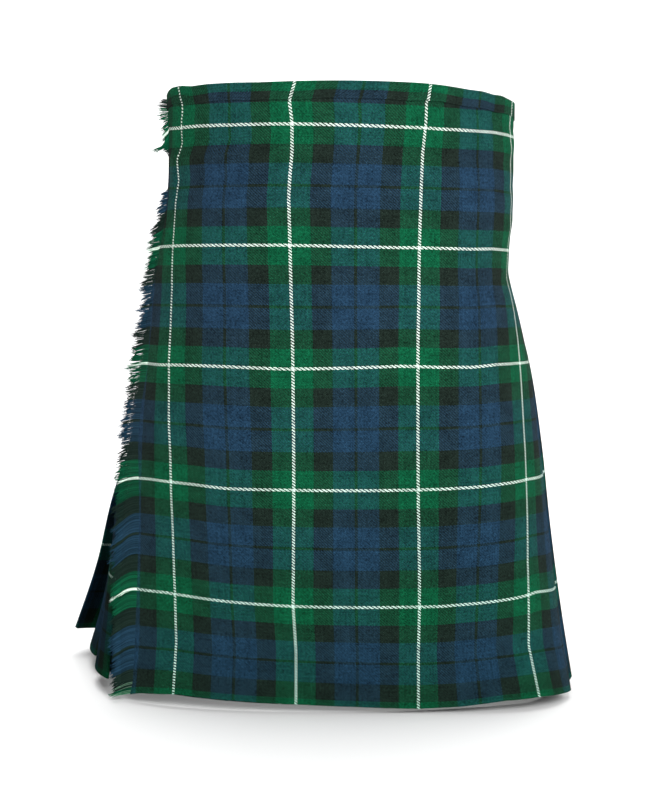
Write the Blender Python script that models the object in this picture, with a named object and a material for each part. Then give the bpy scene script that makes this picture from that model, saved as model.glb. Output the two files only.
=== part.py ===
"""A worn kilt: a fringed over apron, knife pleats round the back, an under apron, and buckled waist straps.

The cloth hangs from the waist, as on a wearer who isn't there. +X is the wearer's left, +Y is the wearer's
back and +Z is up. The origin is the middle of the waist, level with the top of the waistband.

Every layer is drawn on the worn outline of its own height. "Round" is the distance along that outline from
the middle of the front, positive towards the wearer's left, and "out" is the distance outwards from it.
"Down" is the distance down the cloth from its top edge.
"""

import math
from collections import namedtuple

import bmesh
import bpy
import numpy as np

# The cloth, in metres.
LENGTH = 0.610
DIP = 0.006
DIP_FROM = 0.075
DIP_TO = 0.185
WALL = 0.0012
SEAM = 0.0003
TOP = -0.0018

# The knife pleats. Each lies over the next, with its fold towards the wearer's right.
PLEATS = 22
TUCK = 0.66
CREASE = 0.0020
CREASE_REACH = 0.0016
BULGE = 0.24

# The over apron's turned edge, whose return laps the first pleat's cloth between the last two of these steps.
TURN_STEPS = (0.010, 0.022, 0.034)
APRON_COLUMNS = 20
UNDER_COLUMNS = 22
UNDER_DROP = 0.0060
UNDER_SLACK = 0.6
UNDER_CLEAR = 0.0052
UNDER_EMERGES = 0.030
END_SETBACK = 0.012
SINK_FROM = 0.020
SINK_TO = 0.075

# The last pleat's return laps the under apron between these shares of its tuck.
LAP_SHARES = (0.45, 0.95)

# The waistband, a strip folded over the top of every layer.
BAND_HEIGHT = 0.0175
BAND_WALL = 0.0012
BAND_OUT = WALL / 2 + 2 * SEAM
BAND_EASE = 0.0004

# The fringe on the over apron's free edge: locks of warp ends on a narrow strip of the cloth.
FRINGE_TOP = 0.020
FRINGE_PITCH = 0.0050
LOCK_ROOT = 0.0034
STRIP_WIDTH = 0.0030

# The two fastenings. A strap runs back from its root, under the near bar of a buckle, over the far bar and
# on over the doubled tab that holds the buckle. Distances "back" are measured from the strap's root, and
# "up" is the height over the pleats.
STRAP_WIDTH = 0.025
STRAP_DOWN = 0.0345
STRAP_WALL = 0.0020
STRAP_TAIL = 0.045
STRAP_POINT = 0.008
TAB_WALL = 0.0014
TAB_LONG = 0.032
STRAP_UNDER = 0.022
STRAP_SOAR = 0.8
REST = 2 * SEAM
BAR_RADIUS = 0.0013
BAR_UP = 0.0045
BAR_GAP = 0.0194
BUCKLE_HALF_HEIGHT = 0.0160
BUCKLE_CORNER = 0.003
PRONG_RADIUS = 0.0009
PRONG_LONG = 0.011
KEEPER_WIDTH = 0.007
KEEPER_WALL = 0.0011
Fastening = namedtuple("Fastening", "side way to_buckle")
FASTENINGS = (Fastening("right", -1, 0.068), Fastening("left", 1, 0.060))

# The worn outline at each height: how far it reaches to the wearer's right and left, the y of its front, its
# back and its widest place, and the two points where the over apron's free and turned edges lie. The last
# four columns are how far each pleat opens inwards, how far the last fold stands behind the free edge, how
# much wider the last pleats are than the first, and how hollow the last pleats hang.
Outline = namedtuple(
    "Outline",
    "down left right front back middle free_x free_y turn_x turn_y open behind spread hollow",
)
OUTLINES = (
    Outline(0.000, 0.181, 0.181, -0.118, 0.118, 0.000, -0.1772, -0.024, 0.1806, -0.005, 0.0021, -0.010, 0.0, 0.0),
    Outline(0.100, 0.183, 0.181, -0.120, 0.128, 0.003, -0.1785, -0.022, 0.1808, -0.003, 0.0022, -0.008, 0.1, 0.0),
    Outline(0.185, 0.199, 0.180, -0.123, 0.146, 0.014, -0.1945, -0.015, 0.1792, 0.000, 0.0024, -0.004, 0.3, 0.0),
    Outline(0.215, 0.205, 0.188, -0.124, 0.151, 0.021, -0.1995, -0.013, 0.1866, -0.001, 0.0027, -0.002, 0.4, 0.0),
    Outline(0.270, 0.217, 0.203, -0.126, 0.162, 0.036, -0.2088, -0.013, 0.1985, -0.005, 0.0034, 0.001, 0.6, 0.0),
    Outline(0.360, 0.236, 0.2185, -0.129, 0.177, 0.062, -0.2215, -0.027, 0.2098, -0.018, 0.0045, 0.008, 0.8, 0.002),
    Outline(0.450, 0.264, 0.2275, -0.132, 0.191, 0.085, -0.2243, -0.049, 0.2169, -0.038, 0.0055, 0.016, 1.0, 0.006),
    Outline(0.530, 0.283, 0.2365, -0.134, 0.203, 0.105, -0.2240, -0.072, 0.2255, -0.055, 0.0062, 0.022, 1.15, 0.012),
    Outline(0.610, 0.310, 0.2475, -0.136, 0.216, 0.124, -0.2212, -0.090, 0.2367, -0.070, 0.0068, 0.028, 1.25, 0.021),
)

# How much lower the aprons hang at the hem than their own length, by where each column starts at the waist:
# the free corner has dropped, and the cloth towards the turned edge is drawn up.
Drop = namedtuple("Drop", "start over under")
DROPS = (
    Drop(-0.213, 0.012, 0.0),
    Drop(-0.192, 0.004, 0.0),
    Drop(-0.152, -0.003, 0.0),
    Drop(-0.073, -0.003, 0.0),
    Drop(0.004, -0.001, 0.0),
    Drop(0.056, 0.001, 0.0),
    Drop(0.095, 0.000, -0.001),
    Drop(0.135, -0.005, -0.005),
    Drop(0.170, -0.005, -0.005),
    Drop(0.200, 0.000, -0.001),
)
HOLLOW_FROM = 0.55
SQUARE_BACK = 2.15
CLOTH_ROWS = (0.0, 0.06, 0.12, 0.185, 0.215, 0.27, 0.36, 0.45, 0.53, LENGTH)

# Stretches of the fringe, by their lower end: how long the locks are, and their angles in degrees out from
# the apron and down.
FringeStretch = namedtuple("FringeStretch", "to long out fall")
FRINGE = (
    FringeStretch(0.060, 0.008, 20, 5),
    FringeStretch(0.100, 0.004, -35, 10),
    FringeStretch(0.158, 0.014, 45, 30),
    FringeStretch(0.350, 0.012, 35, 12),
    FringeStretch(0.480, 0.013, 20, 30),
    FringeStretch(LENGTH, 0.014, 8, 38),
)

# Finishes: base colour, roughness and metallic.
FINISHES = {
    "tartan_wool": ((0.016, 0.075, 0.060), 0.9, 0.0),
    "wool_fringe": ((0.014, 0.080, 0.055), 0.95, 0.0),
    "strap_leather": ((0.012, 0.011, 0.010), 0.5, 0.0),
    "buckle_steel": ((0.60, 0.60, 0.61), 0.25, 1.0),
}


def at_height(down, name):
    """A column of the outlines at any height, on one smooth curve through its rows."""
    rows = [row.down for row in OUTLINES]
    values = [getattr(row, name) for row in OUTLINES]
    slopes = np.gradient(values, rows)
    i = int(np.clip(np.searchsorted(rows, down) - 1, 0, len(rows) - 2))
    span = rows[i + 1] - rows[i]
    t = (down - rows[i]) / span
    near = (1 + 2 * t) * (1 - t) ** 2 * values[i] + t * (1 - t) ** 2 * span * slopes[i]
    far = t * t * (3 - 2 * t) * values[i + 1] + t * t * (t - 1) * span * slopes[i + 1]
    return float(near + far)


class WornOutline:
    """The closed outline at one height, measured round from the middle of the front."""

    STEPS = 1440

    def __init__(self, down):
        self.down = down
        self.middle = at_height(down, "middle")
        self.front = self.middle - at_height(down, "front")
        self.back = at_height(down, "back") - self.middle
        self.left = at_height(down, "left")
        self.right = at_height(down, "right")
        angle = np.linspace(-math.pi / 2, 1.5 * math.pi, self.STEPS + 1)
        c = np.cos(angle)
        s = np.sin(angle)
        wide = np.where(c > 0, self.right, self.left)
        deep = np.where(s < 0, self.front, self.back)
        free = self.squareness(self.left, at_height(down, "free_x"), at_height(down, "free_y"))
        turned = self.squareness(self.right, at_height(down, "turn_x"), at_height(down, "turn_y"))
        corner = np.where(c > 0, turned, free)
        square = np.where(s < 0, corner, SQUARE_BACK)
        reach = (np.abs(c / wide) ** square + np.abs(s / deep) ** square) ** (-1 / square)
        self.x = reach * c
        self.y = self.middle + reach * s
        step = np.hypot(np.diff(self.x), np.diff(self.y))
        self.along = np.concatenate([[0.0], np.cumsum(step)])
        self.around = float(self.along[-1])
        tx = np.gradient(self.x)
        ty = np.gradient(self.y)
        size = np.hypot(tx, ty)
        self.nx = ty / size
        self.ny = -tx / size
        self.apron_right = self.round_at(at_height(down, "turn_x"), 1)
        self.apron_left = self.round_at(at_height(down, "free_x"), -1)
        self.last_fold = self.around + self.apron_left - at_height(down, "behind")
        self.open = at_height(down, "open")
        self.spread = at_height(down, "spread")
        self.hollow = at_height(down, "hollow")

    def squareness(self, wide, x, y):
        """The power that carries a front corner of the outline through this point."""
        across = abs(x) / wide
        along = (self.middle - y) / self.front
        low, high = 1.5, 12.0
        for _ in range(40):
            power = (low + high) / 2
            if across**power + along**power > 1:
                low = power
            else:
                high = power
        return power

    def fold(self, number):
        """How far round this pleat's fold stands. Number 0 is the over apron's turned edge."""
        t = number / PLEATS
        share = t - self.spread * t * t * (1 - t)
        return self.apron_right + (self.last_fold - self.apron_right) * share

    def round_at(self, x, side):
        """How far round the front's half of the outline has this x, on the wearer's left (1) or right (-1)."""
        half = self.y < self.middle
        chosen = half & (self.x * side >= 0)
        order = np.argsort(np.abs(self.x[chosen]))
        along = self.along[chosen][order]
        along = np.where(along > self.around / 2, along - self.around, along)
        return float(np.interp(abs(x), np.abs(self.x[chosen])[order], along))

    def place(self, round_by, out):
        """x and y of points this far round and this far out."""
        along = np.mod(round_by, self.around)
        x = np.interp(along, self.along, self.x)
        y = np.interp(along, self.along, self.y)
        nx = np.interp(along, self.along, self.nx)
        ny = np.interp(along, self.along, self.ny)
        return np.column_stack([x + out * nx, y + out * ny])

    def pleat_level(self, round_by):
        """How far out the pleats' folds lie: on the outline, and under the over apron by its free edge."""
        start = self.around / 2
        t = np.clip((round_by - start) / (self.last_fold - start), 0.0, 1.0)
        sag = math.sin(math.pi * max(t - HOLLOW_FROM, 0.0) / (1 - HOLLOW_FROM)) ** 2
        return -UNDER_DROP * t * t * (3 - 2 * t) - self.hollow * sag


def both_sides(middle, wall):
    """The loop of points half a wall to each side of an open line of (round, out) points."""
    line = np.array(middle, float)
    ahead = np.diff(line, axis=0)
    ahead /= np.linalg.norm(ahead, axis=1)[:, None]
    before = np.vstack([ahead[:1], ahead])
    after = np.vstack([ahead, ahead[-1:]])
    normal = np.column_stack([-(before + after)[:, 1], (before + after)[:, 0]])
    normal /= np.linalg.norm(normal, axis=1)[:, None]
    lean = np.abs(np.sum(normal * np.column_stack([-before[:, 1], before[:, 0]]), axis=1))
    shift = normal * (wall / 2 / np.maximum(lean, 0.45))[:, None]
    return np.vstack([line + shift, (line - shift)[::-1]])


def new_material(name, finish):
    colour, roughness, metallic = FINISHES[finish]
    material = bpy.data.materials.new(name + "_" + finish)
    material.use_nodes = True
    shader = material.node_tree.nodes["Principled BSDF"]
    shader.inputs["Base Color"].default_value = (*colour, 1.0)
    shader.inputs["Roughness"].default_value = roughness
    shader.inputs["Metallic"].default_value = metallic
    return material


def new_object(name, finish, points, faces):
    """An object with its own material, from points and faces, its faces turned to point outwards."""
    mesh = bpy.data.meshes.new(name)
    mesh.from_pydata([tuple(float(v) for v in p) for p in points], [], faces)
    build = bmesh.new()
    build.from_mesh(mesh)
    bmesh.ops.recalc_face_normals(build, faces=build.faces)
    if build.calc_volume(signed=True) < 0:
        bmesh.ops.reverse_faces(build, faces=build.faces)
    build.to_mesh(mesh)
    build.free()
    mesh.shade_smooth()
    mesh.set_sharp_from_angle(angle=math.radians(50))
    obj = bpy.data.objects.new(name, mesh)
    bpy.context.scene.collection.objects.link(obj)
    mesh.materials.append(new_material(name, finish))


def wall_faces(rows, forward):
    """Faces of a wall made of rows of loops. Where forward is true the loop runs towards the wearer's left, and
    every layer is cut into triangles along the same slant, so that twisted layers stay parallel."""
    loop = len(forward)
    faces = []
    for i in range(rows - 1):
        for j in range(loop):
            k = (j + 1) % loop
            a, b, c, d = i * loop + j, i * loop + k, (i + 1) * loop + k, (i + 1) * loop + j
            faces += [(a, b, c), (a, c, d)] if forward[j] else [(a, b, d), (b, c, d)]
    for start in (0, (rows - 1) * loop):
        for j in range(loop // 2 - 1):
            faces.append((start + j, start + j + 1, start + loop - 2 - j, start + loop - 1 - j))
    return faces


def dip(round_by):
    """How much lower the waist and the hem lie on the wearer's left, from where a column starts at the waist."""
    waist = WornOutline(0.0)
    x = waist.place(np.asarray(round_by), np.zeros(len(round_by)))[:, 0]
    t = np.clip((x - DIP_FROM) / (DIP_TO - DIP_FROM), 0.0, 1.0)
    return DIP * t * t * (3 - 2 * t)


def hung(loops, downs, starts):
    """Loops of x and y at these distances down the cloth, each point hung its own length below the last.
    starts is how far round each point of the first loop stands."""
    heights = [TOP - downs[0] - dip(starts)]
    for i in range(1, len(loops)):
        sideways = np.sum((loops[i] - loops[i - 1]) ** 2, axis=1)
        drop = np.sqrt(np.maximum((downs[i] - downs[i - 1]) ** 2 - sideways, 0.0))
        heights.append(heights[-1] - drop)
    return [np.column_stack([loop, z]) for loop, z in zip(loops, heights)]


def dropped(points, downs, starts, apron):
    """The same rows of points, hung lower by this column of the drops, more and more towards the hem."""
    places = [row.start for row in DROPS]
    drops = np.interp(starts, places, [getattr(row, apron) for row in DROPS])
    return [row - np.outer(drops * (down / LENGTH) ** 3, (0, 0, 1)) for row, down in zip(points, downs)]


def cloth_wall(name, line_at, finish="tartan_wool", rows=CLOTH_ROWS, wall=WALL, apron=None):
    """A wall whose middle line at each height is line_at(outline), a list of (round, out) points."""
    loops = []
    for down in rows:
        outline = WornOutline(down)
        loop = both_sides(line_at(outline), wall)
        loops.append(outline.place(loop[:, 0], loop[:, 1]))
        starts = loop[:, 0] if down == rows[0] else starts
        forward = np.roll(loop[:, 0], -1) > loop[:, 0]
    points = hung(loops, rows, starts)
    if apron == "over":
        points = dropped(points, rows, starts, apron)
    elif apron == "under":
        points = dropped(points, rows, starts - WornOutline(0.0).around, apron)
    new_object(name, finish, np.vstack(points), wall_faces(len(rows), forward))


def apron_columns(outline):
    """Where the over apron's columns stand, from its free edge to just short of its turned edge."""
    fold = outline.apron_right
    across = np.linspace(outline.apron_left, fold - TURN_STEPS[-1], APRON_COLUMNS)
    return [*across, fold - TURN_STEPS[1], fold - TURN_STEPS[0]]


def over_apron_line(outline):
    """From the free edge across the front to the turned edge, and back under it."""
    fold = outline.apron_right
    line = [(a, 0.0) for a in apron_columns(outline)]
    line += [(fold - CREASE_REACH, 0.0), (fold, -CREASE / 2), (fold - CREASE_REACH, -CREASE)]
    return line + [(fold - step, -CREASE) for step in TURN_STEPS]


def face_out(outline, before, fold, at):
    """How far out a pleat's face is: it slopes from under the fold before it up to its own fold."""
    low = -2 * outline.open + outline.pleat_level(before)
    high = outline.pleat_level(fold)
    return low + (high - low) * (at - before) / (fold - before)


def pleated_back_line(outline):
    """Every pleat as a face, a crease, a return and the crease that starts the next face."""
    first = outline.apron_right
    lapped = -CREASE - WALL - 2 * SEAM
    line = [(first - TURN_STEPS[1], lapped), (first - TURN_STEPS[0], lapped)]
    for k in range(PLEATS):
        before, fold = outline.fold(k), outline.fold(k + 1)
        tuck = TUCK * (fold - before)
        inner = fold - tuck
        rising = before + 0.1 * (fold - before)
        crown = before + 0.62 * (fold - before)
        line.append((rising, face_out(outline, before, fold, rising)))
        line.append((crown, face_out(outline, before, fold, crown) + BULGE * outline.open))
        top = face_out(outline, before, fold, fold - CREASE_REACH)
        line += [(fold - CREASE_REACH, top), (fold, top - CREASE / 2), (fold - CREASE_REACH, top - CREASE)]
        if k < PLEATS - 1:
            low = face_out(outline, before, fold, inner) - 2 * outline.open
            line += [(inner + CREASE_REACH, low + CREASE), (inner, low + CREASE / 2)]
            line.append((inner + CREASE_REACH, low))
    return line + [(at, out + WALL + SEAM) for at, out in last_lap(outline)]


def last_lap(outline):
    """Where the last pleat's return meets the under apron, from its fold inwards."""
    before, fold = outline.fold(PLEATS - 1), outline.fold(PLEATS)
    tuck = TUCK * (fold - before)
    places = [fold - tuck * share for share in LAP_SHARES]
    return [(at, face_out(outline, before, fold, at) - 2 * outline.open) for at in places]


def inside_share(outline, at):
    """How far the under apron has sunk towards the inside of the pleats, from 0 in front to 1 at its end."""
    start = outline.around + SINK_FROM
    end = outline.around + outline.apron_right - SINK_TO
    t = min(max((at - start) / (end - start), 0.0), 1.0)
    return t * t * (3 - 2 * t)


def under_apron_out(outline, at):
    """How far out the under apron lies, across the front and inside the first pleats."""
    shallow = -UNDER_DROP - UNDER_SLACK * (outline.open - OUTLINES[0].open)
    deep = -2 * outline.open * (1 + TUCK) - UNDER_CLEAR
    return shallow + (deep - shallow) * inside_share(outline, at)


def under_columns(outline):
    """Where the under apron's columns stand, from just past the last pleat's fold to its free end."""
    end = outline.around + outline.apron_right - END_SETBACK
    return np.linspace(outline.last_fold + UNDER_EMERGES, end, UNDER_COLUMNS)


def under_apron_line(outline):
    """From under the last pleat across the front, behind the over apron, to inside the first pleats."""
    fold = outline.last_fold
    line = last_lap(outline)[::-1]
    line.append((fold, outline.pleat_level(fold) - 2 * outline.open))
    return line + [(at, under_apron_out(outline, at)) for at in under_columns(outline)]


def make_aprons_and_pleats():
    cloth_wall("over_apron", over_apron_line, apron="over")
    cloth_wall("pleated_back", pleated_back_line)
    cloth_wall("under_apron", under_apron_line, apron="under")


def band_path(outline):
    """Stations of the waistband, from the under apron's free end round to the over apron's: round, and how
    far out its outer and its inner leg stand from the layers between them."""
    stations = []
    for at in reversed(under_columns(outline)):
        layer = under_apron_out(outline, at)
        stations.append((at, layer + BAND_OUT, layer - BAND_OUT))
    stack = -2 * outline.open * (1 + TUCK) - CREASE / 2 - BAND_EASE
    for k in range(2 * PLEATS, 0, -1):
        at = outline.fold(k / 2)
        level = outline.pleat_level(at)
        stations.append((at, level + BAND_OUT + BAND_EASE, level + stack))
    fold = outline.apron_right
    for step in (0.0, *TURN_STEPS[:2], TURN_STEPS[2] - CREASE_REACH):
        stations.append((fold - step, BAND_OUT, stack))
    for at in reversed(apron_columns(outline)[: APRON_COLUMNS - 1]):
        stations.append((at, BAND_OUT, -BAND_OUT))
    return stations


def make_waistband():
    """A strip folded over the top edge. Its legs follow the cloth between the cloth's first two rows."""
    upper, lower = (WornOutline(down) for down in CLOTH_ROWS[:2])
    share = BAND_HEIGHT / CLOTH_ROWS[1]
    under = TOP + SEAM
    points = []
    for (at, outer, inner), (at_low, outer_low, inner_low) in zip(band_path(upper), band_path(lower)):
        outs = np.array([outer + BAND_WALL, outer, inner, inner - BAND_WALL])
        outs_low = np.array([outer_low + BAND_WALL, outer_low, inner_low, inner_low - BAND_WALL])
        tops = upper.place(np.full(4, at), outs)
        feet = tops + share * (lower.place(np.full(4, at_low), outs_low) - tops)
        drop = dip([at])[0]
        section = (
            (tops[0], 0.0),
            (feet[0], -BAND_HEIGHT),
            (feet[1], -BAND_HEIGHT),
            (tops[1], under),
            (tops[2], under),
            (feet[2], -BAND_HEIGHT),
            (feet[3], -BAND_HEIGHT),
            (tops[3], 0.0),
        )
        points += [(x, y, z - drop) for (x, y), z in section]
    sides = len(section)
    count = len(points) // sides
    faces = []
    for i in range(count - 1):
        for j in range(sides):
            k = (j + 1) % sides
            faces.append((sides * i + j, sides * i + k, sides * (i + 1) + k, sides * (i + 1) + j))
    for start in (0, sides * (count - 1)):
        for corners in ((0, 1, 2, 3), (0, 3, 4, 7), (4, 5, 6, 7)):
            faces.append(tuple(start + c for c in corners))
    new_object("waistband", "tartan_wool", points, faces)


def wobble(number, seed):
    """A steady uneven value from -1 to 1 for each lock."""
    return math.sin(12.9898 * number + 4.137 * seed) * math.cos(3.7 * number + seed)


def edge_directions(corners):
    """The level directions away from the cloth's edge and out from its face, from a strip's four corners."""
    inner, outer, behind, _ = (np.array(corner[:2]) for corner in corners)
    away = (outer - inner) / np.linalg.norm(outer - inner)
    normal = (outer - behind) / np.linalg.norm(outer - behind)
    return away, normal


def make_fringe():
    """Locks of warp ends, each drawn out of one square of the strip's outer edge."""
    count = int((LENGTH - FRINGE_TOP) / FRINGE_PITCH)
    downs = []
    for k in range(count):
        downs += [FRINGE_TOP + k * FRINGE_PITCH, FRINGE_TOP + k * FRINGE_PITCH + LOCK_ROOT]
    loops = []
    for row in CLOTH_ROWS:
        outline = WornOutline(row)
        inner = outline.apron_left - SEAM
        outer = inner - STRIP_WIDTH
        across = np.array([inner, outer, outer, inner])
        loops.append(outline.place(across, np.array([1, 1, -1, -1]) * WALL / 2))
        starts = across if row == CLOTH_ROWS[0] else starts
    corners = np.array(dropped(hung(loops, CLOTH_ROWS, starts), CLOTH_ROWS, starts, "over"))
    points = []
    for down in downs:
        for corner in range(4):
            points.append(tuple(np.interp(down, CLOTH_ROWS, corners[:, corner, axis]) for axis in range(3)))
    faces = [(0, 1, 2, 3), tuple(len(points) - n for n in (1, 2, 3, 4))]
    for i in range(len(downs) - 1):
        for j in range(4):
            if j == 1 and i % 2 == 0:
                continue
            k = (j + 1) % 4
            faces.append((4 * i + j, 4 * i + k, 4 * i + 4 + k, 4 * i + 4 + j))
    for k in range(count):
        stretch = next(s for s in FRINGE if downs[2 * k] <= s.to)
        root = [8 * k + 1, 8 * k + 2, 8 * k + 6, 8 * k + 5]
        away, normal = edge_directions(points[8 * k : 8 * k + 4])
        turn = math.radians(stretch.out + 14 * wobble(k, 1.0))
        fall = math.radians(stretch.fall + 10 * wobble(k, 2.0))
        long = stretch.long * (1 + 0.18 * wobble(k, 3.0))
        flat = away * math.cos(turn) + normal * math.sin(turn)
        ring = root
        for part, share, size, lean in ((0, 0.5, 0.62, 0.55), (1, 0.5, 0.22, 1.25)):
            step = share * long * np.array([*(flat * math.cos(fall * lean)), -math.sin(fall * lean)])
            corners = np.array([points[n] for n in ring])
            centre = corners.mean(axis=0)
            moved = centre + (corners - centre) * (size if part == 0 else size / 0.62) + step
            fresh = list(range(len(points), len(points) + 4))
            points += [tuple(p) for p in moved]
            for a in range(4):
                b = (a + 1) % 4
                faces.append((ring[a], ring[b], fresh[b], fresh[a]))
            ring = fresh
        faces.append(tuple(ring))
    new_object("apron_fringe", "wool_fringe", points, faces)


class StrapPath:
    """One height of a fastening: places by how far back from the strap's root and how far up from the pleats."""

    def __init__(self, fastening, outline):
        self.outline = outline
        self.way = fastening.way
        if self.way < 0:
            self.root = outline.around + outline.apron_left + STRAP_UNDER
        else:
            self.root = outline.fold(1) + WALL / 2 + 2 * SEAM

    def surface(self, round_by):
        """How far out the pleats reach. On the wearer's left, the first face still rises from under its fold."""
        level = self.outline.pleat_level(min(round_by, self.outline.last_fold)) + WALL / 2
        if self.way > 0:
            rise = (round_by - self.outline.fold(1)) / (self.outline.fold(2) - self.outline.fold(1))
            level -= 2 * self.outline.open * max(STRAP_SOAR - rise, 0.0)
        return level

    def at(self, back, up):
        """The (round, out) point there."""
        round_by = self.root + self.way * back
        return round_by, self.surface(round_by) + REST + up


def on_strap(fastening, back, up, z):
    """A point of a fastening, z above the strap's middle."""
    outline = WornOutline(STRAP_DOWN - z)
    round_by, out = StrapPath(fastening, outline).at(back, up)
    x, y = outline.place(np.array([round_by]), np.array([out]))[0]
    return x, y, TOP - outline.down - dip([round_by])[0]


def strap_rows():
    return [STRAP_DOWN - STRAP_WIDTH / 2, STRAP_DOWN, STRAP_DOWN + STRAP_WIDTH / 2]


def make_strap(fastening):
    """The strap, its tail cut to a point."""
    half = STRAP_WALL / 2
    near = fastening.to_buckle
    far = near + BAR_GAP
    over = BAR_UP + BAR_RADIUS + SEAM + TAB_WALL + SEAM + half
    tail = 2 * TAB_WALL + 2 * SEAM + half

    def line(outline):
        path = StrapPath(fastening, outline)
        flat = np.linspace(0.0, near - 0.004, 7)
        steps = [(back, half) for back in flat]
        steps += [(near + 0.003, half + 0.0002), (far - 0.006, over - 0.0011), (far, over)]
        steps += [(far + 0.0045, over - 0.0006), (far + 0.010, tail + 0.0006), (far + 0.014, tail)]
        end = far + STRAP_TAIL + (STRAP_POINT if outline.down == STRAP_DOWN else 0.0)
        steps += [(back, tail) for back in np.linspace(far + 0.024, end, 3)]
        return [path.at(back, up) for back, up in steps]

    cloth_wall("strap_" + fastening.side, line, "strap_leather", strap_rows(), STRAP_WALL)


def make_tab(fastening):
    """A strip doubled round the buckle's far bar and sewn down on the pleats."""
    far = fastening.to_buckle + BAR_GAP
    half = TAB_WALL / 2
    turn = BAR_RADIUS + SEAM + half
    doubled = 3 * half + SEAM

    def line(outline):
        path = StrapPath(fastening, outline)
        steps = [(far + TAB_LONG, half), (far + 0.018, half), (far + 0.006, half)]
        for angle in (-110, -145, 180, 145, 110, 80, 45):
            a = math.radians(angle)
            steps.append((far + turn * math.cos(a), BAR_UP + turn * math.sin(a)))
        steps += [(far + 0.0072, doubled + 0.0008), (far + 0.0105, doubled)]
        steps += [(far + 0.018, doubled), (far + TAB_LONG, doubled)]
        return [path.at(back, up) for back, up in steps]

    cloth_wall("tab_" + fastening.side, line, "strap_leather", strap_rows()[::2], TAB_WALL)


def rod(name, points, radius, closed):
    """A round steel bar along these points."""
    curve = bpy.data.curves.new(name, "CURVE")
    curve.dimensions = "3D"
    curve.bevel_depth = radius
    curve.bevel_resolution = 1
    curve.use_fill_caps = True
    spline = curve.splines.new("POLY")
    spline.points.add(len(points) - 1)
    for point, place in zip(spline.points, points):
        point.co = (*place, 1.0)
    spline.use_cyclic_u = closed
    obj = bpy.data.objects.new(name, curve)
    bpy.context.scene.collection.objects.link(obj)
    curve.materials.append(new_material(name, "buckle_steel"))


def make_buckle(fastening):
    """The frame, a rectangle with round corners, and the prong that rests on its near bar."""
    near = fastening.to_buckle
    reach = BAR_GAP / 2
    corners = []
    for across, upright, start in ((1, 1, 0), (-1, 1, 90), (-1, -1, 180), (1, -1, 270)):
        for angle in (start, start + 45, start + 90):
            a = math.radians(angle)
            back = near + reach + across * (reach - BUCKLE_CORNER) + BUCKLE_CORNER * math.cos(a)
            z = upright * (BUCKLE_HALF_HEIGHT - BUCKLE_CORNER) + BUCKLE_CORNER * math.sin(a)
            corners.append(on_strap(fastening, back, BAR_UP, z))
    rod("buckle_" + fastening.side, corners, BAR_RADIUS, True)
    up = BAR_UP + BAR_RADIUS + SEAM + PRONG_RADIUS
    ends = [on_strap(fastening, near - 0.0035 + PRONG_LONG * share, up, 0.0) for share in (0.0, 0.5, 1.0)]
    rod("prong_" + fastening.side, ends, PRONG_RADIUS, False)


def make_keeper(fastening):
    """A loop over the strap's tail and the tab, its two feet on the pleats."""
    inner_z = STRAP_WIDTH / 2 + SEAM * 2
    inner_up = 2 * TAB_WALL + 2 * SEAM + STRAP_WALL + 2 * SEAM
    outer_z = inner_z + KEEPER_WALL
    outer_up = inner_up + KEEPER_WALL
    arch = ((-outer_z, 0), (-outer_z, outer_up), (outer_z, outer_up), (outer_z, 0))
    arch += ((inner_z, 0), (inner_z, inner_up), (-inner_z, inner_up), (-inner_z, 0))
    far = fastening.to_buckle + BAR_GAP + 0.018
    points = [on_strap(fastening, back, up, z) for back in (far, far + KEEPER_WIDTH) for z, up in arch]
    faces = [(j, (j + 1) % 8, 8 + (j + 1) % 8, 8 + j) for j in range(8)]
    for start in (0, 8):
        for corners in ((0, 1, 6, 7), (1, 2, 5, 6), (2, 3, 4, 5)):
            faces.append(tuple(start + c for c in corners))
    new_object("keeper_" + fastening.side, "strap_leather", points, faces)


def clear_scene():
    for obj in list(bpy.data.objects):
        bpy.data.objects.remove(obj, do_unlink=True)


def main():
    clear_scene()
    make_aprons_and_pleats()
    make_waistband()
    make_fringe()
    for fastening in FASTENINGS:
        make_strap(fastening)
        make_tab(fastening)
        make_buckle(fastening)
        make_keeper(fastening)


main()
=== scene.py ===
"""The looks of a worn kilt: tartan cloth, loose weft ends, leather straps, steel buckles, and a plain stage.

Every layer of cloth follows the worn outline of its own height, as in the part's source. "Round" is the
distance along that outline from the middle of the front, positive towards the wearer's left, "out" is the
distance outwards from it, and "down" is the distance down the cloth from its top edge. Metres throughout.
"""

import math
import random
from collections import namedtuple
from functools import lru_cache

import bpy
import numpy as np
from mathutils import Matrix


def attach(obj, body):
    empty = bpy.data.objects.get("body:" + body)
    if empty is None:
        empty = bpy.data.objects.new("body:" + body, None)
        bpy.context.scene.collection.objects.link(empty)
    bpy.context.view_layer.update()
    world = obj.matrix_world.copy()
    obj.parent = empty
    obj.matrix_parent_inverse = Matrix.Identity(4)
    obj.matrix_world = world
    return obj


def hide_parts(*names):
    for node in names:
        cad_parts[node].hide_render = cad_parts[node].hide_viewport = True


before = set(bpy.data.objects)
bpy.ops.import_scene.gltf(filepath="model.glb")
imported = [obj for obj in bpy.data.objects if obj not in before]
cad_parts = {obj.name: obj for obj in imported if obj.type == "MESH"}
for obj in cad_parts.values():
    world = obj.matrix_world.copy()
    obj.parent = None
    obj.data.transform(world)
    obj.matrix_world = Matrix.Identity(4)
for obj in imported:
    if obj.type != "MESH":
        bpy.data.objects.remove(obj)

bl_info = {
    "name": "Worn Kilt",
    "version": (1, 0, 0),
    "blender": (4, 5, 0),
    "location": "View3D > Sidebar > Kilt",
    "description": "Builds the cloth, fringe, straps and stage of a worn kilt",
    "category": "Add Mesh",
}

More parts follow.
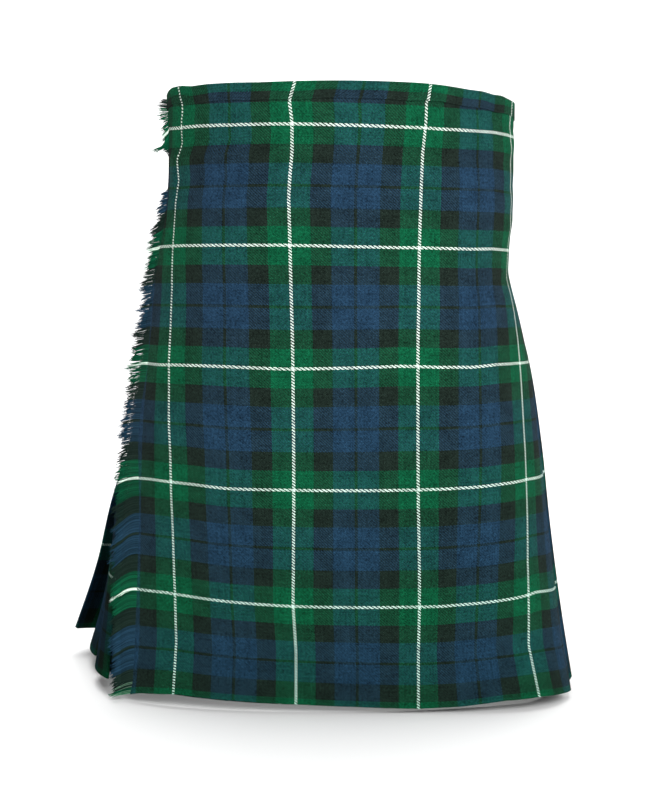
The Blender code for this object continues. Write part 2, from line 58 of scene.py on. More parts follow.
# The cloth and how it hangs, as the part has it.
LENGTH = 0.610
DIP = 0.006
DIP_FROM = 0.075
DIP_TO = 0.185
SEAM = 0.0003
WALL = 0.0012
TOP = -0.0018
PLEATS = 22
TUCK = 0.66
CREASE = 0.0020
CREASE_REACH = 0.0016
BULGE = 0.24
TURN_STEPS = (0.010, 0.022, 0.034)
UNDER_DROP = 0.0060
UNDER_SLACK = 0.6
UNDER_CLEAR = 0.0052
UNDER_EMERGES = 0.030
END_SETBACK = 0.012
SINK_FROM = 0.020
SINK_TO = 0.075
LAP_SHARES = (0.45, 0.95)
BAND_HEIGHT = 0.0175
BAND_WALL = 0.0012
BAND_OUT = WALL / 2 + 2 * SEAM
BAND_EASE = 0.0004
HOLLOW_FROM = 0.55
SQUARE_BACK = 2.15


def table(name, fields, *rows):
    """A table whose columns have these names."""
    row = namedtuple(name, fields)
    return tuple(row(*values) for values in rows)


# The kilt's outline at rising distances down the cloth: its reach on four sides and its middle, where its two
# front corners stand, how far each pleat stands open, how far behind the free edge the last fold is, how the
# folds spread, and how far the last pleats sag in under the over apron.
OUTLINES = table(
    "Outline",
    "down left right front back middle free_x free_y turn_x turn_y open behind spread hollow",
    (0.000, 0.181, 0.181, -0.118, 0.118, 0.000, -0.1772, -0.024, 0.1806, -0.005, 0.0021, -0.010, 0.0, 0.0),
    (0.100, 0.183, 0.181, -0.120, 0.128, 0.003, -0.1785, -0.022, 0.1808, -0.003, 0.0022, -0.008, 0.1, 0.0),
    (0.185, 0.199, 0.180, -0.123, 0.146, 0.014, -0.1945, -0.015, 0.1792, 0.000, 0.0024, -0.004, 0.3, 0.0),
    (0.215, 0.205, 0.188, -0.124, 0.151, 0.021, -0.1995, -0.013, 0.1866, -0.001, 0.0027, -0.002, 0.4, 0.0),
    (0.270, 0.217, 0.203, -0.126, 0.162, 0.036, -0.2088, -0.013, 0.1985, -0.005, 0.0034, 0.001, 0.6, 0.0),
    (0.360, 0.236, 0.2185, -0.129, 0.177, 0.062, -0.2215, -0.027, 0.2098, -0.018, 0.0045, 0.008, 0.8, 0.002),
    (0.450, 0.264, 0.2275, -0.132, 0.191, 0.085, -0.2243, -0.049, 0.2169, -0.038, 0.0055, 0.016, 1.0, 0.006),
    (0.530, 0.283, 0.2365, -0.134, 0.203, 0.105, -0.2240, -0.072, 0.2255, -0.055, 0.0062, 0.022, 1.15, 0.012),
    (0.610, 0.310, 0.2475, -0.136, 0.216, 0.124, -0.2212, -0.090, 0.2367, -0.070, 0.0068, 0.028, 1.25, 0.021),
)

# How much lower the aprons hang at the hem than their own length, by where each column starts at the waist:
# the free corner has dropped, and the cloth towards the turned edge is drawn up.
DROPS = table(
    "Drop",
    "start over under",
    (-0.213, 0.012, 0.0),
    (-0.192, 0.004, 0.0),
    (-0.152, -0.003, 0.0),
    (-0.073, -0.003, 0.0),
    (0.004, -0.001, 0.0),
    (0.056, 0.001, 0.0),
    (0.095, 0.000, -0.001),
    (0.135, -0.005, -0.005),
    (0.170, -0.005, -0.005),
    (0.198, -0.001, -0.001),
    (0.226, 0.004, -0.001),
)

# Where the tartan's white lines lie on the over apron. Upright ones: how far down, and how far round each
# of the four is. Level ones: how far round, and how far down each of the five is.
UPRIGHTS = table(
    "Uprights",
    "down first second third fourth",
    (0.000, -0.1758, -0.0503, 0.0862, 0.2060),
    (0.016, -0.1758, -0.0503, 0.0862, 0.2066),
    (0.036, -0.1788, -0.0476, 0.0852, 0.2075),
    (0.052, -0.1778, -0.0474, 0.0832, 0.2085),
    (0.067, -0.1890, -0.0474, 0.0812, 0.2072),
    (0.089, -0.1862, -0.0495, 0.0800, 0.2120),
    (0.110, -0.1905, -0.0508, 0.0792, 0.2135),
    (0.158, -0.1895, -0.0494, 0.0781, 0.2150),
    (0.201, -0.1871, -0.0484, 0.0771, 0.2158),
    (0.245, -0.1870, -0.0470, 0.0761, 0.2165),
    (0.275, -0.1870, -0.0465, 0.0759, 0.2143),
    (0.307, -0.1830, -0.0462, 0.0757, 0.2123),
    (0.363, -0.1775, -0.0457, 0.0755, 0.2090),
    (0.414, -0.1757, -0.0458, 0.0758, 0.2025),
    (0.473, -0.1708, -0.0463, 0.0769, 0.1945),
    (0.511, -0.1676, -0.0466, 0.0770, 0.1917),
    (0.557, -0.1652, -0.0437, 0.0761, 0.1885),
    (0.610, -0.1680, -0.0438, 0.0762, 0.1990),
)
LEVELS = table(
    "Levels",
    "round first second third fourth fifth",
    (-0.245, 0.0340, 0.1560, 0.2777, 0.3977, 0.5120),
    (-0.205, 0.0345, 0.1560, 0.2783, 0.3953, 0.5092),
    (-0.181, 0.0361, 0.1561, 0.2775, 0.3953, 0.5074),
    (-0.149, 0.0368, 0.1564, 0.2768, 0.3954, 0.5076),
    (-0.112, 0.0382, 0.1567, 0.2768, 0.3970, 0.5090),
    (-0.054, 0.0395, 0.1572, 0.2778, 0.3960, 0.5104),
    (0.000, 0.0412, 0.1584, 0.2764, 0.3957, 0.5104),
    (0.058, 0.0423, 0.1594, 0.2747, 0.3956, 0.5102),
    (0.100, 0.0423, 0.1590, 0.2763, 0.3959, 0.5106),
    (0.136, 0.0397, 0.1570, 0.2755, 0.3944, 0.5083),
    (0.170, 0.0365, 0.1537, 0.2719, 0.3918, 0.5058),
    (0.205, 0.0355, 0.1525, 0.2708, 0.3902, 0.5031),
    (0.245, 0.0354, 0.1520, 0.2710, 0.3910, 0.5079),
)
# How much narrower the first upright white line is drawn by the rolled free edge.
PINCHES = table("Pinch", "down by", (0.0, 0.9), (0.13, 0.8), (0.20, 0.3), (0.26, 0.2), (0.61, 0.4))
PINCH_REACH = 0.004
TOP_STRETCH = 0.87
EDGE_STRETCH = 0.90
EDGE_STRETCHED = (0.25, 0.36)
HEM_AFTER_FIFTH = 0.1045

# The over apron's free edge: how far in from it the upright threads have come away, by how far down, and
# how far past it the loose level threads reach.
FRAYS = table(
    "Fray",
    "down loose past fall out",
    (0.000, 0.0035, 0.0050, -0.30, 70),
    (0.008, 0.0035, 0.0090, -0.20, 70),
    (0.017, 0.0030, 0.0145, 0.10, 70),
    (0.025, 0.0030, 0.0080, 0.40, 70),
    (0.032, 0.0030, 0.0130, 0.60, 70),
    (0.040, 0.0030, 0.0130, 0.70, 70),
    (0.049, 0.0030, 0.0165, 0.20, 70),
    (0.056, 0.0015, 0.0060, 0.20, 60),
    (0.062, 0.0002, 0.0004, 0.10, 20),
    (0.094, 0.0002, 0.0004, 0.10, 20),
    (0.099, 0.0020, 0.0090, 0.10, 60),
    (0.109, 0.0040, 0.0165, 0.20, 70),
    (0.119, 0.0050, 0.0130, 0.30, 70),
    (0.131, 0.0060, 0.0175, 0.35, 70),
    (0.139, 0.0070, 0.0130, 0.30, 65),
    (0.152, 0.0080, 0.0180, 0.10, 60),
    (0.180, 0.0100, 0.0150, 0.15, 55),
    (0.205, 0.0110, 0.0120, 0.15, 50),
    (0.230, 0.0160, 0.0170, 0.12, 45),
    (0.276, 0.0270, 0.0160, 0.12, 40),
    (0.340, 0.0300, 0.0145, 0.15, 32),
    (0.390, 0.0310, 0.0160, 0.16, 32),
    (0.430, 0.0300, 0.0165, 0.50, 34),
    (0.470, 0.0275, 0.0165, 0.50, 38),
    (0.511, 0.0250, 0.0165, 0.42, 42),
    (0.560, 0.0200, 0.0155, 0.40, 44),
    (0.598, 0.0150, 0.0140, 0.25, 48),
    (0.610, 0.0110, 0.0125, 0.05, 48),
)

# Soft troughs and ridges pressed into the cloth: where each one's middle is, half its length and width, its
# angle from upright in degrees, and how far out it stands. The under apron's are placed by their share of the
# way round.
APRON_FOLDS = table(
    "Fold",
    "round down long wide lean rise",
    (-0.135, 0.0200, 0.060, 0.0030, 88, -0.0010),
    (0.020, 0.0200, 0.120, 0.0030, 90, -0.0006),
    (0.180, 0.0230, 0.045, 0.0035, 96, -0.0012),
    (0.205, 0.0500, 0.035, 0.0060, 70, 0.0012),
    (0.200, 0.0900, 0.040, 0.0070, 78, -0.0012),
    (0.212, 0.1300, 0.030, 0.0080, 66, 0.0012),
    (0.205, 0.1850, 0.040, 0.0080, 72, -0.0014),
    (-0.196, 0.0800, 0.030, 0.0060, 4, 0.0014),
    (-0.185, 0.0800, 0.035, 0.0050, 6, -0.0010),
    (-0.165, 0.1700, 0.090, 0.0150, 14, 0.0010),
    (-0.100, 0.1200, 0.110, 0.0220, -10, -0.0008),
    (0.120, 0.1500, 0.120, 0.0240, 12, 0.0008),
    (-0.130, 0.4300, 0.150, 0.0200, 5, 0.0012),
    (-0.060, 0.4800, 0.140, 0.0240, -3, -0.0010),
    (0.030, 0.5000, 0.130, 0.0260, 2, 0.0010),
    (0.110, 0.4700, 0.150, 0.0240, -4, -0.0012),
    (0.175, 0.4300, 0.160, 0.0180, -6, 0.0012),
    (0.215, 0.4000, 0.150, 0.0120, -4, -0.0012),
)
UNDER_FOLDS = table(
    "Fold",
    "round down long wide lean rise",
    (1.00, 0.300, 0.200, 0.030, 4, 0.0010),
    (1.12, 0.350, 0.200, 0.026, -5, -0.0010),
    (1.25, 0.320, 0.180, 0.030, 6, 0.0010),
    (1.38, 0.400, 0.180, 0.026, -4, -0.0010),
)


def column_at(rows, key, values, name):
    """A column of a table at these values of its key, straight between its rows."""
    return np.interp(values, [getattr(row, key) for row in rows], [getattr(row, name) for row in rows])


def table_at(rows, key, value):
    """Every other column of a table at this value of its key."""
    return [float(column_at(rows, key, value, name)) for name in rows[0]._fields if name != key]


def eased(t):
    """From 0 to 1 with a soft start and a soft end."""
    return t * t * (3 - 2 * t)


def lengths_along(line):
    """How far along this line each of its points lies."""
    return np.concatenate([[0.0], np.cumsum(np.linalg.norm(np.diff(line, axis=0), axis=1))])


def arc(x, y, radius, start, end, count):
    """Points of an arc round this centre, from one angle in degrees to another."""
    angles = np.radians(np.linspace(start, end, count))
    return [(x + radius * math.cos(a), y + radius * math.sin(a)) for a in angles]


def at_height(down, name):
    """A column of the outlines at any height, on one smooth curve through its rows."""
    rows = [row.down for row in OUTLINES]
    values = [getattr(row, name) for row in OUTLINES]
    slopes = np.gradient(values, rows)
    i = int(np.clip(np.searchsorted(rows, down) - 1, 0, len(rows) - 2))
    span = rows[i + 1] - rows[i]
    t = (down - rows[i]) / span
    near = (1 + 2 * t) * (1 - t) ** 2 * values[i] + t * (1 - t) ** 2 * span * slopes[i]
    far = eased(t) * values[i + 1] + t * t * (t - 1) * span * slopes[i + 1]
    return float(near + far)


class WornOutline:
    """The closed outline at one height, measured round from the middle of the front."""

    STEPS = 1440
    ROUNDEST = 1.5
    SQUAREST = 12.0
    HALVINGS = 40

    def __init__(self, down):
        self.down = down
        self.middle = at_height(down, "middle")
        self.front = self.middle - at_height(down, "front")
        self.back = at_height(down, "back") - self.middle
        self.left = at_height(down, "left")
        self.right = at_height(down, "right")
        angle = np.linspace(-math.pi / 2, 1.5 * math.pi, self.STEPS + 1)
        c = np.cos(angle)
        s = np.sin(angle)
        wide = np.where(c > 0, self.right, self.left)
        deep = np.where(s < 0, self.front, self.back)
        free = self.squareness(self.left, at_height(down, "free_x"), at_height(down, "free_y"))
        turned = self.squareness(self.right, at_height(down, "turn_x"), at_height(down, "turn_y"))
        corner = np.where(c > 0, turned, free)
        square = np.where(s < 0, corner, SQUARE_BACK)
        reach = (np.abs(c / wide) ** square + np.abs(s / deep) ** square) ** (-1 / square)
        self.x = reach * c
        self.y = self.middle + reach * s
        step = np.hypot(np.diff(self.x), np.diff(self.y))
        self.along = np.concatenate([[0.0], np.cumsum(step)])
        self.around = float(self.along[-1])
        tx = np.gradient(self.x)
        ty = np.gradient(self.y)
        size = np.hypot(tx, ty)
        self.nx = ty / size
        self.ny = -tx / size
        self.apron_right = self.round_at(at_height(down, "turn_x"), 1)
        self.apron_left = self.round_at(at_height(down, "free_x"), -1)
        self.last_fold = self.around + self.apron_left - at_height(down, "behind")
        self.open = at_height(down, "open")
        self.spread = at_height(down, "spread")
        self.hollow = at_height(down, "hollow")

    def squareness(self, wide, x, y):
        """The power that carries a front corner of the outline through this point."""
        across = abs(x) / wide
        along = (self.middle - y) / self.front
        low, high = self.ROUNDEST, self.SQUAREST
        for _ in range(self.HALVINGS):
            power = (low + high) / 2
            if across**power + along**power > 1:
                low = power
            else:
                high = power
        return power

    def fold(self, number):
        """How far round this pleat's fold stands. Number 0 is the over apron's turned edge."""
        t = number / PLEATS
        share = t - self.spread * t * t * (1 - t)
        return self.apron_right + (self.last_fold - self.apron_right) * share

    def round_at(self, x, side):
        """How far round the front's half has this x, on the wearer's left (1) or right (-1)."""
        half = self.y < self.middle
        chosen = half & (self.x * side >= 0)
        order = np.argsort(np.abs(self.x[chosen]))
        along = self.along[chosen][order]
        along = np.where(along > self.around / 2, along - self.around, along)
        return float(np.interp(abs(x), np.abs(self.x[chosen])[order], along))

    def place(self, round_by, out):
        """x and y of points this far round and this far out."""
        along = np.mod(round_by, self.around)
        x = np.interp(along, self.along, self.x)
        y = np.interp(along, self.along, self.y)
        nx = np.interp(along, self.along, self.nx)
        ny = np.interp(along, self.along, self.ny)
        return np.column_stack([x + out * nx, y + out * ny])

    def pleat_level(self, round_by):
        """How far out the pleats' folds lie: on the outline, and under the over apron by its free edge."""
        start = self.around / 2
        t = np.clip((round_by - start) / (self.last_fold - start), 0.0, 1.0)
        sag = math.sin(math.pi * max(t - HOLLOW_FROM, 0.0) / (1 - HOLLOW_FROM)) ** 2
        return -UNDER_DROP * eased(t) - self.hollow * sag


@lru_cache(maxsize=None)
def worn(down):
    return WornOutline(down)


def dip(round_by):
    """How much lower the waist and the hem lie on the wearer's left, by where a column starts."""
    x = worn(0.0).place(np.asarray(round_by), np.zeros(len(round_by)))[:, 0]
    t = np.clip((x - DIP_FROM) / (DIP_TO - DIP_FROM), 0.0, 1.0)
    return DIP * eased(t)


def hem_drop(starts, apron):
    """How much lower these columns of the over or the under apron hang at the hem than their own length."""
    return column_at(DROPS, "start", starts, apron)


def hang(line_at, downs, relief=None, apron=None):
    """A grid of points, and each one's round: a row for each of these heights, hung its own length below the
    last. line_at(outline) gives a row's (round, out) points, and relief how much further out each one is."""
    flat, moved, rounds = [], [], []
    for down in downs:
        outline = worn(down)
        line = np.array(line_at(outline))
        flat.append(outline.place(line[:, 0], line[:, 1]))
        lift = relief(line[:, 0], down) if relief else 0.0
        moved.append(outline.place(line[:, 0], line[:, 1] + lift))
        rounds.append(line[:, 0])
    heights = [TOP - downs[0] - dip(rounds[0])]
    for i in range(1, len(downs)):
        sideways = np.sum((flat[i] - flat[i - 1]) ** 2, axis=1)
        drop = np.sqrt(np.maximum((downs[i] - downs[i - 1]) ** 2 - sideways, 0.0))
        heights.append(heights[-1] - drop)
    grid = np.dstack([np.array(moved), np.array(heights)[:, :, None]])
    if apron:
        starts = rounds[0] - (worn(0.0).around if apron == "under" else 0.0)
        grid[:, :, 2] -= np.outer((np.asarray(downs) / LENGTH) ** 3, hem_drop(starts, apron))
    return grid, np.array(rounds)


def pressed(folds):
    """How far out these folds stand at points this far round and down."""

    def relief(round_by, down):
        rise = np.zeros(len(round_by))
        for fold in folds:
            lean = math.radians(fold.lean)
            across = (round_by - fold.round) * math.cos(lean) + (down - fold.down) * math.sin(lean)
            along = (down - fold.down) * math.cos(lean) - (round_by - fold.round) * math.sin(lean)
            rise += fold.rise * np.exp(-((across / fold.wide) ** 2) - (along / fold.long) ** 2)
        return rise

    return relief


def half_circle(centre, reach, height, turn, steps):
    """(round, out) points round a soft crease's bulging end. turn is 1 for a fold and -1 for a hollow."""
    angles = np.linspace(0.0, math.pi, steps)
    return [(centre + turn * reach * math.sin(a), height / 2 * math.cos(a)) for a in angles]


def new_piece(name, solid, material, node, smooth=60):
    """A mesh object that stands in for this node of the frame. Its solid is points, faces and uv, which holds
    each point's place on its cloth or leather."""
    points, faces, uv = solid
    mesh = bpy.data.meshes.new(name)
    mesh.from_pydata(np.asarray(points, float).tolist(), [], faces)
    layer = mesh.uv_layers.new(name="cloth")
    corners = np.empty(len(mesh.loops), np.int32)
    mesh.loops.foreach_get("vertex_index", corners)
    layer.uv.foreach_set("vector", np.asarray(uv, np.float32)[corners].ravel())
    mesh.shade_smooth()
    mesh.set_sharp_from_angle(angle=math.radians(smooth))
    mesh.materials.append(material)
    obj = bpy.data.objects.new(name, mesh)
    bpy.context.scene.collection.objects.link(obj)
    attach(obj, "root")
    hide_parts(node)
    return obj


def shell(grid, uv, wall):
    """Points, faces and uv of a closed thin wall whose middle is this grid."""
    rows, columns = grid.shape[:2]
    down = np.gradient(grid, axis=0)
    across = np.gradient(grid, axis=1)
    normal = np.cross(down, across)
    normal /= np.maximum(np.linalg.norm(normal, axis=2, keepdims=True), 1e-12)
    front = (grid + normal * wall / 2).reshape(-1, 3)
    back = (grid - normal * wall / 2).reshape(-1, 3)
    number = np.arange(rows * columns).reshape(rows, columns)
    a, b, c, d = number[:-1, :-1], number[1:, :-1], number[1:, 1:], number[:-1, 1:]
    behind = rows * columns
    faces = [np.stack([a, b, c, d], axis=2).reshape(-1, 4)]
    faces.append(np.stack([a, d, c, b], axis=2).reshape(-1, 4) + behind)
    for near, far in (
        (number[1:, 0], number[:-1, 0]),
        (number[:-1, -1], number[1:, -1]),
        (number[0, :-1], number[0, 1:]),
        (number[-1, 1:], number[-1, :-1]),
    ):
        faces.append(np.column_stack([near, far, far + behind, near + behind]))
    places = uv.reshape(-1, 2)
    return np.vstack([front, back]), np.vstack(faces).tolist(), np.vstack([places, places])


def tubes(paths, radii, sides, uvs):
    """Points, faces and uv of closed round rods, one along each path, tapering by its radii."""
    points, faces, places = [], [], []
    turns = np.linspace(0.0, 2 * math.pi, sides, endpoint=False)
    start = 0
    for path, radius, uv in zip(paths, radii, uvs):
        path = np.asarray(path, float)
        ahead = np.gradient(path, axis=0)
        ahead /= np.maximum(np.linalg.norm(ahead, axis=1, keepdims=True), 1e-12)
        guide = np.array([0.0, 0.0, 1.0]) if abs(ahead[0][2]) < 0.9 else np.array([1.0, 0.0, 0.0])
        first = np.cross(ahead, guide)
        first /= np.linalg.norm(first, axis=1, keepdims=True)
        second = np.cross(ahead, first)
        ring = first[:, None] * np.cos(turns)[:, None] + second[:, None] * np.sin(turns)[:, None]
        points.append((path[:, None] + ring * np.asarray(radius)[:, None, None]).reshape(-1, 3))
        places.append(np.repeat(np.asarray(uv, float), sides, axis=0))
        for i in range(len(path) - 1):
            for j in range(sides):
                k = (j + 1) % sides
                low, high = start + i * sides, start + (i + 1) * sides
                faces.append((low + j, low + k, high + k, high + j))
        last = start + (len(path) - 1) * sides
        faces.append(tuple(start + j for j in reversed(range(sides))))
        faces.append(tuple(last + j for j in range(sides)))
        start += len(path) * sides
    return np.vstack(points), faces, np.vstack(places)


# Where the tartan lies on the over apron.


def tartan_marks(round_by, start):
    """Heights down the over apron, from its top edge to its hem, and how far down the tartan each one is. The
    first level white line is at 0. start is where the column stands at the waist."""
    sett = bpy.context.scene.kilt.sett_down
    levels = table_at(LEVELS, "round", round_by)
    drop = float(hem_drop(start, "over"))
    known = [level - drop * (level / LENGTH) ** 3 for level in levels]
    marks = [-TOP_STRETCH * known[0], *(k * sett for k in range(5)), 4 * sett + HEM_AFTER_FIFTH]
    return [0.0, *known, LENGTH], marks


def cloth_v(round_by, down, start=0.0):
    """How far down the tartan this point of the over apron is."""
    known, marks = tartan_marks(round_by, start)
    return float(np.interp(down, known, marks))


def down_of(round_by, v, start=0.0):
    """The height at which the over apron holds this place of the tartan."""
    known, marks = tartan_marks(round_by, start)
    return float(np.interp(v, marks, known))


def cloth_u(round_by, down):
    """How far across the tartan this point of the over apron is. The first upright white line is at 0."""
    sett = bpy.context.scene.kilt.sett_across
    lines = table_at(UPRIGHTS, "down", down)
    marks = [k * sett for k in range(4)]
    u = np.interp(round_by, lines, marks)
    drawn = float(np.interp(down, EDGE_STRETCHED, (1.0, EDGE_STRETCH)))
    u = np.where(round_by < lines[0], (round_by - lines[0]) * drawn, u)
    u = np.where(round_by > lines[3], marks[3] + round_by - lines[3], u)
    near = np.exp(-((u / PINCH_REACH) ** 2))
    return u * (1 + table_at(PINCHES, "down", down)[0] * near)


FLAT_COLUMNS = 118
APRON_ROWS = 132
TURN_COLUMNS = 6
TURN_FROM = 0.004


def over_apron_columns(outline):
    """From the free edge across the front, round the turned edge and back under it."""
    fold = outline.apron_right
    line = [(a, 0.0) for a in np.linspace(outline.apron_left, fold - CREASE_REACH, FLAT_COLUMNS)]
    crease = half_circle(fold - CREASE_REACH, CREASE_REACH, CREASE, 1, 7)
    line += [(a, out - CREASE / 2) for a, out in crease[1:]]
    return line + [(fold - step, -CREASE) for step in np.linspace(TURN_FROM, TURN_STEPS[-1], TURN_COLUMNS)]


def apron_grid(downs):
    """The over apron at these heights, with its folds."""
    return hang(over_apron_columns, downs, pressed(APRON_FOLDS), "over")


def frayed_in(down, outline):
    """The share of the apron's flat width, from the free edge, whose upright threads have come away."""
    width = outline.apron_right - CREASE_REACH - outline.apron_left
    return table_at(FRAYS, "down", down)[0] / width


def drawn_back(values, begin):
    """A row's values with its flat columns drawn back from the free edge, to this share of their width."""
    shares = np.linspace(0.0, 1.0, FLAT_COLUMNS)
    flat = np.interp(begin + (1 - begin) * shares, shares, values[:FLAT_COLUMNS])
    return np.concatenate([flat, values[FLAT_COLUMNS:]])


def make_over_apron():
    """The cloth between the frayed edge and the turned one, its tartan stretched to where its lines lie."""
    settings = bpy.context.scene.kilt
    downs = np.linspace(0.0, LENGTH, APRON_ROWS)
    grid, rounds = apron_grid(downs)
    starts = rounds[0].copy()
    uv = np.zeros((*rounds.shape, 2))
    last = FLAT_COLUMNS - 1
    for i, down in enumerate(downs):
        begin = frayed_in(down, worn(down))
        for axis in range(3):
            grid[i, :, axis] = drawn_back(grid[i, :, axis], begin)
        rounds[i] = drawn_back(rounds[i], begin)
        u = cloth_u(rounds[i], down)
        u[last:] = u[last] + lengths_along(grid[i, last:])
        uv[i, :, 0] = u
        uv[i, :, 1] = [cloth_v(at, down, start) for at, start in zip(rounds[i], drawn_back(starts, begin))]
    cloth = shell(grid, uv, settings.cloth_wall)
    obj = new_piece("over_apron_cloth", cloth, tartan("tartan_wool"), "over_apron")


# The pleats. Each is a face, a crease, one column on the way back in, and the hollow that starts the next
# face. Two columns lapped under the over apron's turned edge come before them.
FACE_COLUMNS = 9
CREASE_COLUMNS = 5
HOLLOW_COLUMNS = 3
PLEAT_COLUMNS = FACE_COLUMNS + CREASE_COLUMNS + 1 + HOLLOW_COLUMNS
LAPPED_COLUMNS = 2
PLEAT_ROWS = 92
FACE_FROM = 0.10
FACE_TO = 0.93
SWELL_POWER = 0.8

# Pleats stand a little unevenly: how far a fold may be out of place at the hem, and by what share more or
# less than the others its face may swell.
FOLD_SHIFT = 0.0016
SWELL_SHIFT = 0.30

# The widest hollows, where the last pleats fan out at the hem: how much deeper they open, round which fold's
# number, over how many folds, and how fast towards the hem.
FAN_DEEPER = 0.9
FAN_FOLD = 17.8
FAN_SPREAD = 2.1
FAN_POWER = 2.5

# How much further in than its solid the last fold but one hangs, in the shelter of the over apron, and how
# much further out the one before it hangs.
DRAWN_IN = table("Draw", "down by", (0.30, 0.0), (0.45, 0.006), (0.575, 0.0115), (0.61, 0.0070))
PUSHED_OUT = 0.003

# How much lower the hem hangs in the hollow between those two folds, by the column of cloth into it from the
# first one's crease.
HOLLOW_SAGS = table(
    "Sag",
    "column by",
    (0, 0.0),
    (2, 0.0015),
    (3, 0.0090),
    (4, 0.0120),
    (6, 0.0125),
    (7, 0.0080),
    (7 + FACE_COLUMNS, 0.0),
)

# Where the pleats' tartan lies, in setts: its place at fold number 0, how much further it is at each next
# fold, and from where it is darkened by painted shade, as the last pleats lie in the over apron's shadow.
# Its level lines lie as the over apron's do this far round.
FIRST_SETT = 3.55
SETTS_SHOWN = 1 / 5
PAINTED_SHADE_SETT = 7.2
LEVELS_AS_AT = 0.245


def unevenness(seed, count, size):
    """Steady uneven values, one for each of a row of like things."""
    chance = random.Random(seed)
    return [size * chance.uniform(-1.0, 1.0) for _ in range(count)]


def fanned(k, down):
    """How much deeper than the others the hollow before this fold opens, where the last pleats fan out."""
    if k >= PLEATS - 1:
        return 1.0
    return 1.0 + FAN_DEEPER * math.exp(-(((k - FAN_FOLD) / FAN_SPREAD) ** 2)) * (down / LENGTH) ** FAN_POWER


def drawn_in(k, down):
    """How much further in than its solid this fold hangs."""
    if k == PLEATS - 2:
        return table_at(DRAWN_IN, "down", down)[0]
    if k == PLEATS - 3:
        return -PUSHED_OUT * (down / LENGTH) ** 3
    return 0.0


def pleat_columns(outline):
    """Every pleat as a face, a fold, a return and the hollow that starts the next face."""
    hem = outline.down / LENGTH
    shifts = unevenness(5, PLEATS + 1, FOLD_SHIFT * hem)
    crowns = unevenness(9, PLEATS, SWELL_SHIFT)
    first = outline.apron_right
    lapped = -CREASE - WALL - 2 * SEAM
    line = [(first - TURN_STEPS[1], lapped), (first - TURN_STEPS[0], lapped)]
    for k in range(PLEATS):
        before, fold = outline.fold(k), outline.fold(k + 1)
        if 0 < k:
            before += shifts[k]
        if k < PLEATS - 1:
            fold += shifts[k + 1]
        tuck = TUCK * (fold - before)
        inner = fold - tuck
        low = -2 * outline.open * fanned(k, outline.down) + outline.pleat_level(before)
        high = outline.pleat_level(fold) - drawn_in(k, outline.down)

        def face(at):
            return low + (high - low) * (at - before) / (fold - before)

        swell = BULGE * outline.open * (1 + crowns[k])
        for share in np.linspace(FACE_FROM, FACE_TO, FACE_COLUMNS):
            at = before + share * (fold - before)
            crown = math.sin(math.pi * min(share / FACE_TO, 1.0)) ** SWELL_POWER
            line.append((at, face(at) + swell * crown))
        top = face(fold - CREASE_REACH)
        crease = half_circle(fold - CREASE_REACH, CREASE_REACH, CREASE, 1, CREASE_COLUMNS)
        line += [(at, top - CREASE / 2 + out) for at, out in crease]
        if k < PLEATS - 1:
            after = outline.fold(k + 2) + (shifts[k + 2] if k < PLEATS - 2 else 0.0)
            foot = high - 2 * outline.open * fanned(k + 1, outline.down)
            next_high = outline.pleat_level(after) - drawn_in(k + 1, outline.down)
            deep = foot + (next_high - foot) * (inner - fold) / (after - fold)
            line.append(((fold + inner) / 2, (top + deep) / 2))
            hollow = half_circle(inner + CREASE_REACH, CREASE_REACH, CREASE, -1, HOLLOW_COLUMNS)
            line += [(at, deep + CREASE / 2 + out) for at, out in hollow]
    return line + [(at, out + WALL + SEAM) for at, out in last_lap(outline)]


def last_lap(outline):
    """Where the last pleat's return meets the under apron, from its fold inwards."""
    before, fold = outline.fold(PLEATS - 1), outline.fold(PLEATS)
    tuck = TUCK * (fold - before)
    low = -2 * outline.open + outline.pleat_level(before)
    high = outline.pleat_level(fold)
    places = [fold - tuck * share for share in LAP_SHARES]
    return [(at, low + (high - low) * (at - before) / (fold - before) - 2 * outline.open) for at in places]


def make_pleats():
    """One length of cloth, folded so that each pleat shows the next fifth of a sett."""
    settings = bpy.context.scene.kilt
    downs = np.linspace(0.0, LENGTH, PLEAT_ROWS)
    grid, _ = hang(pleat_columns, downs)
    columns = grid.shape[1]
    to_crease = FACE_COLUMNS + CREASE_COLUMNS // 2
    fanned_crease = LAPPED_COLUMNS + (PLEATS - 3) * PLEAT_COLUMNS + to_crease
    low = column_at(HOLLOW_SAGS, "column", np.arange(columns) - fanned_crease, "by")
    grid[:, :, 2] -= np.outer((downs / LENGTH) ** 4, low)
    uv = np.zeros((len(downs), columns, 2))
    for i, down in enumerate(downs):
        along = lengths_along(grid[i])
        for k in range(PLEATS):
            start = LAPPED_COLUMNS + k * PLEAT_COLUMNS
            end = min(start + PLEAT_COLUMNS, columns)
            marked = (FIRST_SETT + (k + 1) * SETTS_SHOWN) * settings.sett_across
            uv[i, start:end, 0] = marked + along[start:end] - along[start + to_crease]
        uv[i, :2, 0] = uv[i, 2, 0] - (along[2] - along[:2])
        uv[i, -2:, 0] = uv[i, -3, 0] + along[-2:] - along[-3]
        uv[i, :, 1] = cloth_v(LEVELS_AS_AT, down)
    cloth = shell(grid, uv, settings.cloth_wall)
    wool = tartan("pleat_wool", PAINTED_SHADE_SETT * settings.sett_across)
    obj = new_piece("pleated_cloth", cloth, wool, "pleated_back")


# The under apron.
UNDER_COLUMNS = 64
UNDER_ROWS = 84
UNDER_FLAT_ABOVE = 0.1


def inside_share(outline, at):
    """How far the under apron has sunk towards the inside of the pleats, from 0 in front to 1 at its end."""
    start = outline.around + SINK_FROM
    end = outline.around + outline.apron_right - SINK_TO
    return eased(min(max((at - start) / (end - start), 0.0), 1.0))


def under_apron_out(outline, at):
    """How far out the under apron lies, across the front and inside the first pleats."""
    shallow = -UNDER_DROP - UNDER_SLACK * (outline.open - OUTLINES[0].open)
    deep = -2 * outline.open * (1 + TUCK) - UNDER_CLEAR
    return shallow + (deep - shallow) * inside_share(outline, at)


